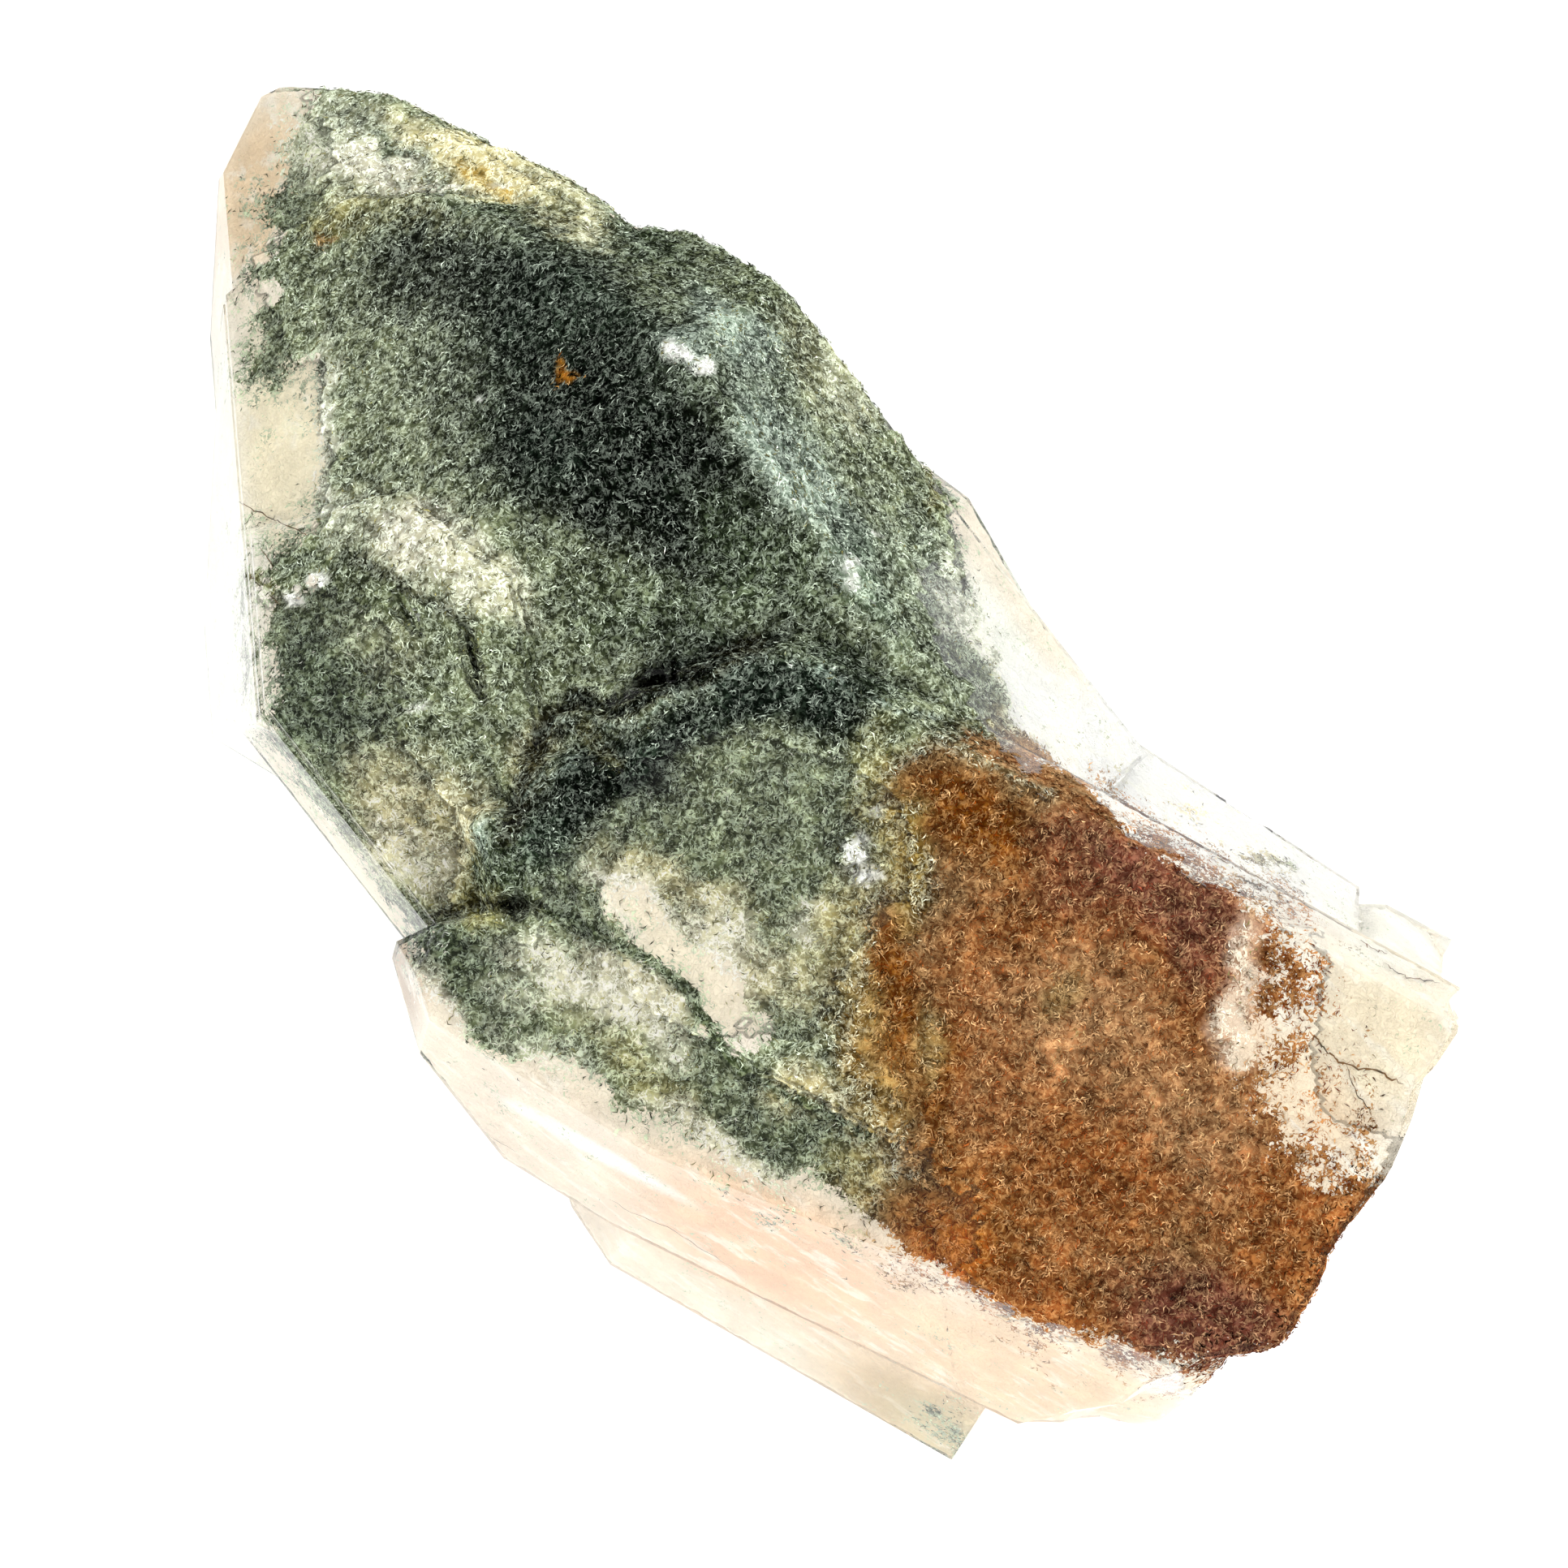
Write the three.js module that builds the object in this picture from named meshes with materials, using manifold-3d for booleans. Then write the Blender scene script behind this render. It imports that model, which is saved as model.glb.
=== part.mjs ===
// A chlorite quartz crystal: a cluster of intergrown quartz crystals, broken off at the root,
// lying on its back. All lengths are millimetres and all angles degrees.
//
// The crystals are laid out as seen from above: x to the right, y away from the viewer and z up
// from the surface. The finished cluster is then turned so that its long way runs along X.

import * as THREE from 'three';
import * as BufferGeometryUtils from 'three/addons/utils/BufferGeometryUtils.js';
import Module from 'manifold-3d';

const wasm = await Module();
wasm.setup();

// Quartz habit: six side faces round the long axis, and six tip faces leaning on that axis.
const TIP_LEAN = 38.2;
const SIDE_STEP = 60;

// Size of the block that a crystal is cut from, and of the wider block that cuts it.
const BLOCK = 110;
const CUTTER = 320;

// Heading of the cluster's long way in the layout.
const LONG_WAY = 133;

// A crystal's long axis points along heading, level with rise. roll turns its side faces about
// that axis. sides is how far each side face stands from the axis through centre, and tips how
// far along the axis each tip face would cross it, both starting at the upper right face and
// going over the front to the left. root is how far from centre the crystal ends at its root.
// breaks are flat breaks and odd faces, each with the heading and rise that it faces and its
// distance from centre.
const CRYSTALS = {
  main: {
    heading: 128, rise: 0, roll: 40, centre: [-13.9, 13.0, 13.0],
    sides: [17.6, 10.7, 17.7, 11.2, 11.5, 15.8],
    tips: [23.8, 14.2, 23.1, 29.8, 26.2, 26.5],
    root: 29.2,
    breaks: [[70, 4, 18.0]],
  },
  mainMound: {
    heading: 128, rise: 0, roll: 40, centre: [-13.9, 13.0, 13.0],
    sides: [17.6, 11.3, 17.5, 11.0, 8.0, 4.0],
    tips: [23.8, 15.0, 22.9, 28.0, 24.0, 20.0],
    root: 22.0,
    breaks: [[62, 15, 0.9], [8, 12, 2.1], [112, 20, 6.0]],
  },
  leftPlate: {
    heading: 128, rise: 0, roll: 40, centre: [-13.9, 13.0, 13.0],
    sides: [12.0, 10.2, 18.0, 18.1, 10.5, 12.0],
    tips: [23.8, 13.6, 23.2, 30.1, 26.2, 26.5],
    root: 29.0,
    breaks: [[242, 10, 16.0]],
  },
  rearTip: {
    heading: 128, rise: 0, roll: 40, centre: [-14.2, 20.3, 7.0],
    sides: [12.5, 8.4, 11.9, 12.3, 7.4, 8.6],
    tips: [25.8, 16.6, 24.3, 29.3, 30.0, 24.2],
    root: 24.0,
    breaks: [
      [115, 54, 9.4], [153, 10, 19.3], [118, 12, 20.3], [83, 10, 15.1], [62, 8, 11.0], [38, -10, 9.3],
    ],
  },
  rearStep: {
    heading: 128, rise: 0, roll: 40, centre: [-14.2, 20.3, 7.0],
    sides: [12.5, 8.2, 11.9, 12.3, 7.4, 9.2],
    tips: [22.0, 15.2, 21.0, 26.0, 26.0, 19.6],
    root: 20.0,
    breaks: [[115, 54, 9.1], [62, 8, 11.6], [44, 2, 10.6]],
  },
  sideBlade: {
    heading: 120, rise: 0, roll: 35, centre: [7.9, 8.8, 11.0],
    sides: [5.3, 8.0, 5.6, 5.1, 9.3, 3.1],
    tips: [11.2, 8.4, 4.5, 6.3, 14.4, 12.9],
    root: 12.3,
  },
  front: {
    heading: 151, rise: -5, roll: 30, centre: [5.7, -1.4, 15.0],
    sides: [10.4, 13.6, 19.3, 13.8, 16.2, -0.1],
    tips: [20.6, 27.1, 30.6, 26.2, 25.7, 10.9],
    root: 45.0,
  },
  frontStepHigh: {
    heading: 151, rise: -5, roll: 30, centre: [5.7, -1.4, 15.0],
    sides: [7.1, 13.3, 18.8, 9.0, 4.0, 1.0],
    tips: [19.8, 28.4, 32.0, 26.2, 25.7, 13.0],
    root: 12.0,
  },
  frontStepMiddle: {
    heading: 151, rise: -5, roll: 30, centre: [5.7, -1.4, 15.0],
    sides: [2.3, 13.0, 18.4, 9.0, 4.0, 1.0],
    tips: [15.9, 30.6, 33.0, 26.2, 25.7, 18.0],
    root: 12.0,
  },
  frontStepLow: {
    heading: 151, rise: -5, roll: 30, centre: [5.7, -1.4, 15.0],
    sides: [-1.3, 12.7, 17.4, 9.0, 4.0, 1.0],
    tips: [13.0, 32.1, 36.6, 28.3, 31.2, 18.0],
    root: 12.0,
  },
  frontShelf: {
    heading: 151, rise: -5, roll: 30, centre: [5.7, -1.4, 15.0],
    sides: [2.8, 11.0, 17.6, 9.0, 4.0, 1.0],
    tips: [18.1, 29.0, 33.0, 26.2, 25.7, 18.0],
    root: 12.0,
  },
  lower: {
    heading: 149, rise: -6, roll: 30, centre: [1.4, -16.3, 14.0],
    sides: [8.5, 14.7, 12.6, 5.9, 14.9, 2.6],
    tips: [26.6, 37.5, 33.3, 18.9, 29.1, 8.8],
    root: 45.0,
    breaks: [[245, 30, 11.8]],
  },
  clear: {
    heading: 147, rise: 0, roll: 25, centre: [20.8, -4.9, 11.0],
    sides: [5.5, 12.7, 10.6, 13.0, 12.5, 2.1],
    tips: [29.5, 30.6, 26.8, 29.5, 32.2, 25.7],
    root: 35.0,
    breaks: [[340, -4, 8.7]],
  },
  clearRoot: {
    heading: 152, rise: 0, roll: 25, centre: [29.4, -9.2, 11.0],
    sides: [4.9, 14.6, 7.8, 9.4, 11.0, 0.6],
    tips: [5.8, 18.9, 10.0, 11.9, 18.0, 5.0],
    root: 20.0,
  },
  underside: {
    heading: 150, rise: 3, roll: 30, centre: [-0.7, -25.7, 9.0],
    sides: [7.4, 8.9, 4.4, 2.5, 9.5, 7.1],
    tips: [14.6, 16.2, 13.2, 13.9, 17.8, 14.5],
    root: 24.0,
    breaks: [[318, 10, 13.9]],
  },
};

// The broken root: rough blocks that take away everything beyond them. Each faces away from
// the cluster along its heading and rise, and passes through at.
const ROOT_BREAKS = [
  { heading: 329, rise: -3, at: [27.2, -20.6, 16.0], seed: 1.7 },
  { heading: 285, rise: 14, at: [18.1, -31.6, 20.0], seed: 4.1 },
  { heading: 310, rise: 5, at: [24.4, -26.9, 30.0], seed: 2.6 },
  { heading: 345, rise: 0, at: [32.9, -14.0, 12.0], seed: 3.3 },
];
const ROOT_REACH = 70;
const ROOT_CELLS = 26;
const ROOT_ROUGHNESS = 0.75;

// Chips knocked from edges and corners, pits and clefts: centre, size along x, y and z, turn
// about z.
const CHIPS = [
  { at: [-27.8, 38.4, 5.0], size: [2.2, 1.4, 2.0], turn: 30 },
  { at: [-30.6, 33.4, 5.5], size: [1.0, 2.4, 2.2], turn: -25 },
  { at: [-4.6, 22.0, 26.2], size: [2.3, 1.0, 1.1], turn: -40 },
  { at: [3.6, 11.1, 26.9], size: [1.6, 0.8, 1.0], turn: -55 },
  { at: [9.2, 4.4, 26.9], size: [1.9, 0.7, 1.0], turn: -52 },
  { at: [-18.9, -14.9, 24.6], size: [0.9, 1.8, 1.8], turn: 15 },
  { at: [-8.4, -24.9, 22.0], size: [2.6, 0.9, 1.6], turn: -30 },
  { at: [23.2, -3.0, 13.5], size: [2.6, 1.1, 2.6], turn: -30 },
  { at: [-13.6, -6.2, 25.6], size: [0.9, 0.8, 1.6], turn: 0 },
  { at: [-19.2, 8.8, 23.4], size: [1.5, 0.35, 1.1], turn: -62 },
  { at: [-15.8, 6.2, 23.6], size: [2.0, 0.4, 1.3], turn: -75 },
  { at: [-6.2, 5.0, 24.3], size: [2.6, 0.7, 1.2], turn: 22 },
  { at: [26.9, -27.0, 29.0], size: [1.9, 3.4, 7.0], turn: -28 },
  { at: [28.5, -22.9, 30.6], size: [1.0, 1.6, 2.6], turn: -20 },
];

// The cluster rests on the plane where its back was flattened against the rock.
const REST_HEIGHT = 0;

// A unit vector with this heading and rise.
function facing(heading, rise) {
  const turn = THREE.MathUtils.degToRad(heading);
  const lift = THREE.MathUtils.degToRad(rise);
  const level = Math.cos(lift);
  return new THREE.Vector3(level * Math.cos(turn), level * Math.sin(turn), Math.sin(lift));
}

// The closed solid of a geometry, with its shared corners merged.
function solidOf(geometry) {
  const bare = geometry.clone();
  bare.deleteAttribute('normal');
  bare.deleteAttribute('uv');
  const merged = BufferGeometryUtils.mergeVertices(bare, 1e-4);
  const mesh = new wasm.Mesh({
    numProp: 3,
    vertProperties: new Float32Array(merged.attributes.position.array),
    triVerts: new Uint32Array(merged.index.array),
  });
  return new wasm.Manifold(mesh);
}

// The geometry of a finished solid.
function geometryOf(solid) {
  const mesh = solid.getMesh();
  const geometry = new THREE.BufferGeometry();
  geometry.setAttribute('position', new THREE.BufferAttribute(mesh.vertProperties, 3));
  geometry.setIndex(new THREE.BufferAttribute(mesh.triVerts, 1));
  geometry.computeVertexNormals();
  return geometry;
}

// A block that holds everything beyond the plane through point, on the side that normal faces.
function blockBeyond(point, normal) {
  const block = new THREE.BoxGeometry(CUTTER, CUTTER, CUTTER);
  block.translate(CUTTER / 2, 0, 0);
  block.applyQuaternion(new THREE.Quaternion().setFromUnitVectors(new THREE.Vector3(1, 0, 0), normal));
  block.translate(point.x, point.y, point.z);
  return solidOf(block);
}

// One crystal, cut from a block by its side faces, tip faces and breaks.
function quartz({ heading, rise, roll, centre, sides, tips, root, breaks = [] }) {
  const middle = new THREE.Vector3(...centre);
  const along = facing(heading, rise);
  const across = facing(heading - 90, 0);
  const over = new THREE.Vector3().crossVectors(across, along);
  const lean = THREE.MathUtils.degToRad(TIP_LEAN);
  const faces = [[along.clone().negate(), root]];
  for (let i = 0; i < sides.length; i += 1) {
    const round = THREE.MathUtils.degToRad(roll + SIDE_STEP * i);
    const side = across.clone().multiplyScalar(Math.cos(round)).addScaledVector(over, Math.sin(round));
    const tip = side.clone().multiplyScalar(Math.cos(lean)).addScaledVector(along, Math.sin(lean));
    faces.push([side, sides[i]]);
    faces.push([tip, tips[i] * Math.sin(lean)]);
  }
  for (const [breakHeading, breakRise, distance] of breaks) {
    faces.push([facing(breakHeading, breakRise), distance]);
  }
  const block = new THREE.BoxGeometry(BLOCK, BLOCK, BLOCK);
  block.translate(middle.x, middle.y, middle.z);
  let crystal = solidOf(block);
  for (const [normal, distance] of faces) {
    const point = middle.clone().addScaledVector(normal, distance);
    crystal = crystal.subtract(blockBeyond(point, normal));
  }
  return crystal;
}

// Height of the broken surface at two places across it: long shallow shells with finer hackle.
function hackle(across, up, seed) {
  const shell = Math.abs(Math.sin(across * 0.21 + up * 0.13 + seed));
  const swell = Math.sin(up * 0.31 - across * 0.12 + seed);
  const ridge = Math.sin(across * 0.83 + Math.sin(up * 0.52 + seed) * 1.6);
  const grain = Math.sin(across * 1.9 + up * 1.3 + seed) * Math.sin(up * 2.3 - across * 0.7);
  return ROOT_ROUGHNESS * (shell + swell + 0.45 * ridge + 0.3 * grain);
}

// A block whose near face is a rough fracture.
function rootBreak({ heading, rise, at, seed }) {
  const block = new THREE.BoxGeometry(ROOT_REACH, ROOT_REACH, ROOT_REACH, 1, ROOT_CELLS, ROOT_CELLS);
  const spots = block.attributes.position;
  for (let i = 0; i < spots.count; i += 1) {
    if (spots.getX(i) < 0) {
      spots.setX(i, -ROOT_REACH / 2 + hackle(spots.getY(i), spots.getZ(i), seed));
    }
  }
  block.translate(ROOT_REACH / 2, 0, 0);
  const normal = facing(heading, rise);
  block.applyQuaternion(new THREE.Quaternion().setFromUnitVectors(new THREE.Vector3(1, 0, 0), normal));
  block.translate(...at);
  return solidOf(block);
}

// A low, many-sided scoop that leaves a shell-shaped chip.
function chip({ at, size, turn }) {
  const ball = new THREE.IcosahedronGeometry(1, 1);
  ball.scale(...size);
  ball.rotateZ(THREE.MathUtils.degToRad(turn));
  ball.translate(...at);
  return solidOf(ball);
}

// All crystals grown together, with their root, back and chips taken away.
function cluster() {
  const crystals = Object.values(CRYSTALS).map(quartz);
  let body = crystals.reduce((grown, crystal) => grown.add(crystal));
  for (const block of ROOT_BREAKS) {
    body = body.subtract(rootBreak(block));
  }
  body = body.subtract(blockBeyond(new THREE.Vector3(0, 0, REST_HEIGHT), new THREE.Vector3(0, 0, -1)));
  for (const scoop of CHIPS) {
    body = body.subtract(chip(scoop));
  }
  return body;
}

const quartzMaterial = new THREE.MeshStandardMaterial({ color: 0x7d8873, roughness: 0.18, metalness: 0 });
const crystalMesh = new THREE.Mesh(geometryOf(cluster()), quartzMaterial);
crystalMesh.name = 'chlorite_quartz_crystal';

// The layout is turned so that the long way runs along X, and set over the origin.
const layout = new THREE.Group();
layout.add(crystalMesh);
layout.rotation.z = THREE.MathUtils.degToRad(-LONG_WAY);

const part = new THREE.Group();
part.add(layout);
const box = new THREE.Box3().setFromObject(part, true);
layout.position.set(-(box.min.x + box.max.x) / 2, -(box.min.y + box.max.y) / 2, -box.min.z);

export default part;
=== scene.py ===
# A chlorite quartz crystal cluster, lying on its flat back and seen from above. Lengths are metres,
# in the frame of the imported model. Sizes that are easier to read in millimetres are times MM.
import math

import bpy
import numpy as np
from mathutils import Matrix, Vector
from mathutils.bvhtree import BVHTree


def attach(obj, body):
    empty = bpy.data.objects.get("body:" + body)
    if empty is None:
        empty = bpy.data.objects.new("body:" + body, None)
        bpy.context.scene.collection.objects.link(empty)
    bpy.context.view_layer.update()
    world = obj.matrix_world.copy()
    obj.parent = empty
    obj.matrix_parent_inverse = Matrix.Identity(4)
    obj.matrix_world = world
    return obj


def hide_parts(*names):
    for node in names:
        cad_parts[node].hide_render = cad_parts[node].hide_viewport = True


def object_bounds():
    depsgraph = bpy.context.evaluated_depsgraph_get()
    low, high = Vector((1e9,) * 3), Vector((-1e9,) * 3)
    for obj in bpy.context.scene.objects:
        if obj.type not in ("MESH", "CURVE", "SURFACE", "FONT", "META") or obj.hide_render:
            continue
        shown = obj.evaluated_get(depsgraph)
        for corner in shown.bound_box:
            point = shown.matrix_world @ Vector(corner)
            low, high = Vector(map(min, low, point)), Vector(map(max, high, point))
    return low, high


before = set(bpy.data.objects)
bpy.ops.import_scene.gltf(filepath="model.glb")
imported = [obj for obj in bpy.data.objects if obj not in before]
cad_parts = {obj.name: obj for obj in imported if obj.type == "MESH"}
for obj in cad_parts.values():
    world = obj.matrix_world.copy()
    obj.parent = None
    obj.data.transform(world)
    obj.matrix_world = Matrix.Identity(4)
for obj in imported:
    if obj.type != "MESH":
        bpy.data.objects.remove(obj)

cad_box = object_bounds()

# The clear quartz. The real crystals grew together into one solid of clear quartz with a faint
# cream tint. Its edges are slightly worn, and its faces have faint waves and frosting.
MM = 0.001
NODE = "chlorite_quartz_crystal"
EDGE_WEAR = 0.05 * MM
WELD = 0.001 * MM
QUARTZ_IOR = 1.544
QUARTZ_GLARE = 0.07
QUARTZ_TINT = (0.97, 0.93, 0.85)
QUARTZ_DENSITY = 14.0


class Socket:
    """A shader socket that takes part in Python arithmetic. Each operator adds a Math node."""

    def __init__(self, tree, socket):
        self.tree = tree
        self.socket = socket

    def node(self, kind, settings, sockets):
        """Adds a node, sets it up, then fills its sockets, and gives its first shown output."""
        made = self.tree.nodes.new(kind)
        for name, value in settings.items():
            setattr(made, name, value)
        for name, value in sockets.items():
            if isinstance(value, Socket):
                self.tree.links.new(value.socket, made.inputs[name])
            else:
                made.inputs[name].default_value = value
        return Socket(self.tree, next(out for out in made.outputs if out.enabled))

    def math(self, operation, first, second=0.0):
        return self.node("ShaderNodeMath", {"operation": operation}, {0: first, 1: second})

    def __add__(self, other):
        return self.math("ADD", self, other)

    def __radd__(self, other):
        return self.math("ADD", other, self)

    def __sub__(self, other):
        return self.math("SUBTRACT", self, other)

    def __rsub__(self, other):
        return self.math("SUBTRACT", other, self)

    def __mul__(self, other):
        return self.math("MULTIPLY", self, other)

    def __rmul__(self, other):
        return self.math("MULTIPLY", other, self)

    def __abs__(self):
        return self.math("ABSOLUTE", self)

    def ramp(self, low, high, start=0.0, end=1.0):
        """start below low, end above high and a smooth step between."""
        return self.node(
            "ShaderNodeMapRange",
            {"interpolation_type": "SMOOTHSTEP"},
            {"Value": self, "From Min": low, "From Max": high, "To Min": start, "To Max": end},
        )

    def mix(self, first, second):
        """The colour first where this is 0 and second where it is 1."""
        return self.node("ShaderNodeMix", {"data_type": "RGBA"}, {0: self, 6: first, 7: second})

    def times(self, shade):
        """This colour multiplied by a grey shade."""
        return self.node("ShaderNodeVectorMath", {"operation": "SCALE"}, {"Vector": self, "Scale": shade})

    def plus(self, other):
        """This colour with another added."""
        return self.node("ShaderNodeVectorMath", {"operation": "ADD"}, {0: self, 1: other})

    def clipped(self):
        """This colour with nothing brighter than warm white quartz."""
        white = (0.96, 0.94, 0.86)
        return self.node("ShaderNodeVectorMath", {"operation": "MINIMUM"}, {0: self, 1: white})

    def noise(self, size, detail=2.0, roughness=0.5, distortion=0.0):
        """Soft noise whose lumps are about this size."""
        return self.node(
            "ShaderNodeTexNoise",
            {},
            {
                "Vector": self, "Scale": 1 / size, "Detail": detail, "Roughness": roughness,
                "Distortion": distortion,
            },
        )

    def sibling(self, name):
        """Another output of the same node."""
        return Socket(self.tree, self.socket.node.outputs[name])

    def moved(self, location=(0, 0, 0), rotation=(0, 0, 0), scale=(1, 1, 1)):
        """This place moved, turned or scaled, for a pattern of its own."""
        return self.node(
            "ShaderNodeMapping",
            {},
            {"Vector": self, "Location": location, "Rotation": rotation, "Scale": scale},
        )


def new_material(name, ior=1.5, roughness=0.5):
    """A material, its Principled shader and the place on the object as a Socket."""
    material = bpy.data.materials.new(name)
    material.use_nodes = True
    tree = material.node_tree
    shader = tree.nodes["Principled BSDF"]
    shader.inputs["IOR"].default_value = ior
    shader.inputs["Roughness"].default_value = roughness
    return material, shader, Socket(tree, tree.nodes.new("ShaderNodeTexCoord").outputs["Object"])


def plug(value, shader, name):
    """Feeds a worked-out value into one of a shader's sockets."""
    value.tree.links.new(value.socket, shader.inputs[name])


def pick(piece):
    """Makes this the only selected object, and the active one."""
    bpy.ops.object.select_all(action="DESELECT")
    piece.select_set(True)
    bpy.context.view_layer.objects.active = piece


def new_object(name, data):
    """An object with this data, put in the scene."""
    made = bpy.data.objects.new(name, data)
    bpy.context.scene.collection.objects.link(made)
    return made


def edit(piece, operator, **settings):
    """Runs one edit mode operator on all of a piece."""
    pick(piece)
    bpy.ops.object.mode_set(mode="EDIT")
    bpy.ops.mesh.select_all(action="SELECT")
    operator(**settings)
    bpy.ops.object.mode_set(mode="OBJECT")


def copy_of_solid(name):
    """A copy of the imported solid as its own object, with its loose triangles joined up."""
    piece = new_object(name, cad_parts[NODE].data.copy())
    piece.data.name = name
    piece.data.materials.clear()
    edit(piece, bpy.ops.mesh.remove_doubles, threshold=WELD)
    return piece


def finish_with(piece, kind, **settings):
    """Adds a modifier with these settings to a piece and applies it."""
    modifier = piece.modifiers.new(kind.lower(), kind)
    for name, value in settings.items():
        setattr(modifier, name, value)
    pick(piece)
    bpy.ops.object.modifier_apply(modifier=modifier.name)


quartz = copy_of_solid("quartz_cluster")
edit(quartz, bpy.ops.mesh.dissolve_limited, angle_limit=math.radians(0.5))
finish_with(
    quartz, "BEVEL", width=EDGE_WEAR, segments=2, limit_method="ANGLE", angle_limit=math.radians(12)
)
finish_with(quartz, "TRIANGULATE")
bpy.ops.object.shade_smooth_by_angle(angle=math.radians(14))
finish_with(quartz, "WEIGHTED_NORMAL", mode="FACE_AREA", weight=100, keep_sharp=True)

glass, shader, place = new_material("clear_quartz", QUARTZ_IOR)
shader.inputs["Transmission Weight"].default_value = 1.0
shader.inputs["Base Color"].default_value = (1, 1, 1, 1)
shader.inputs["Specular IOR Level"].default_value = QUARTZ_GLARE
plug(place.noise(1.5 * MM, 3.0).ramp(0.50, 0.75, 0.01, 0.08), shader, "Roughness")
waves = place.noise(1.1 * MM, 2.0) + place.moved((2, 7, 1)).noise(0.3 * MM) * 0.15
bump = place.node("ShaderNodeBump", {}, {"Strength": 0.25, "Distance": 0.06 * MM, "Height": waves})
plug(bump, shader, "Normal")
tint = glass.node_tree.nodes.new("ShaderNodeVolumeAbsorption")
tint.inputs["Color"].default_value = (*QUARTZ_TINT, 1)
tint.inputs["Density"].default_value = QUARTZ_DENSITY
glass.node_tree.links.new(tint.outputs["Volume"], glass.node_tree.nodes["Material Output"].inputs["Volume"])
quartz.data.materials.append(glass)
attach(quartz, "root")
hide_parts(NODE)

# The chlorite phantom. Green chlorite and rusty iron grains settled on an earlier stage of the
# crystals. Clear quartz grew over a part of them, and elsewhere they stand out as a raw crust. The
# coat is dark and woolly where thick, ragged at its rim, and cream where milky quartz shows: a painted
# backlight.
PHANTOM_DEPTH = 0.22 * MM
PHANTOM_GRID = 0.33 * MM
CRUST_HEIGHT = 0.16 * MM
# Whatever the relief, raw crust stands out this far at least, and the rest lies this deep at least.
LEAST_HEIGHT = 0.04 * MM
LEAST_DEPTH = 0.10 * MM
# The share of crust from which the coat is raw.
RAW_FROM = 0.5
FOLLOW_REACH = 0.5 * MM
BOX_GAP = 0.02 * MM
# The height of the woolly relief, and the share, size in mm and seed of each set of its waves.
WOOL_RELIEF = 0.055 * MM
WOOL_WAVES = ((1.0, 1.1, 21), (0.8, 0.75, 22))
# The same for blotches of light and dark, whose strength is a natural logarithm.
BLOTCH_SHADE = 0.14
BLOTCH_WAVES = ((1.0, 3.2, 15), (0.9, 1.3, 16))
# How bright the raw crust is beside the same coat under quartz.
OPEN_SHADE = 0.58
# How much brighter a ridge and darker a hollow is painted than the coat around it, a painted highlight and
# shade (natural logarithm), and its rise in mm.
PAINTED_RIM_SHADE = 0.28
RIM_RISE = 0.05
GRAIN_IOR = 1.04
# How the photograph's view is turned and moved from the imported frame, and its heights in mm.
LAYOUT_TURN = math.radians(133)
LAYOUT_SHIFT = (-4.369, -2.037)
EYE_HEIGHT = 320.0
FRONT_HEIGHT = 20.0


def turned(x, y, angle):
    """Places turned about the middle, counter-clockwise."""
    return x * math.cos(angle) - y * math.sin(angle), x * math.sin(angle) + y * math.cos(angle)


def seen_places(points):
    """Where points lie as seen from above: x and y in mm at the height of the front faces."""
    x, y, z = (points / MM).T
    x, y = turned(x - LAYOUT_SHIFT[0], y - LAYOUT_SHIFT[1], LAYOUT_TURN)
    near = (EYE_HEIGHT - FRONT_HEIGHT) / (EYE_HEIGHT - z)
    return x * near, y * near


def wave_draws(size, seed, waves):
    """The heading and the phase of each of these random waves."""
    draw = np.random.default_rng(seed)
    for _ in range(waves):
        heading = draw.normal(size=3)
        heading *= 2 * math.pi / (size * draw.uniform(0.7, 1.5) * np.linalg.norm(heading))
        yield heading, draw.uniform(0, 2 * math.pi)


def ripple(points, size, seed, waves=14):
    """Random smooth waves of about this size in metres, mostly between -1 and 1."""
    total = sum(np.sin(points @ heading + phase) for heading, phase in wave_draws(size, seed, waves))
    return total / math.sqrt(waves)


def ripple_slope(points, size, seed, waves=14):
    """How steeply the same waves rise along each axis."""
    draws = wave_draws(size, seed, waves)
    slope = sum(np.cos(points @ heading + phase)[:, None] * heading for heading, phase in draws)
    return slope / math.sqrt(waves)


def rippled(points, sets, waves=14):
    """Some sets of waves added up, each given by its share, size in mm and seed."""
    return sum(share * ripple(points, size * MM, seed, waves) for share, size, seed in sets)


def smooth(value, low, high):
    """0 below low, 1 above high and a smooth step between."""
    share = np.clip((value - low) / (high - low), 0, 1)
    return share * share * (3 - 2 * share)


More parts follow.
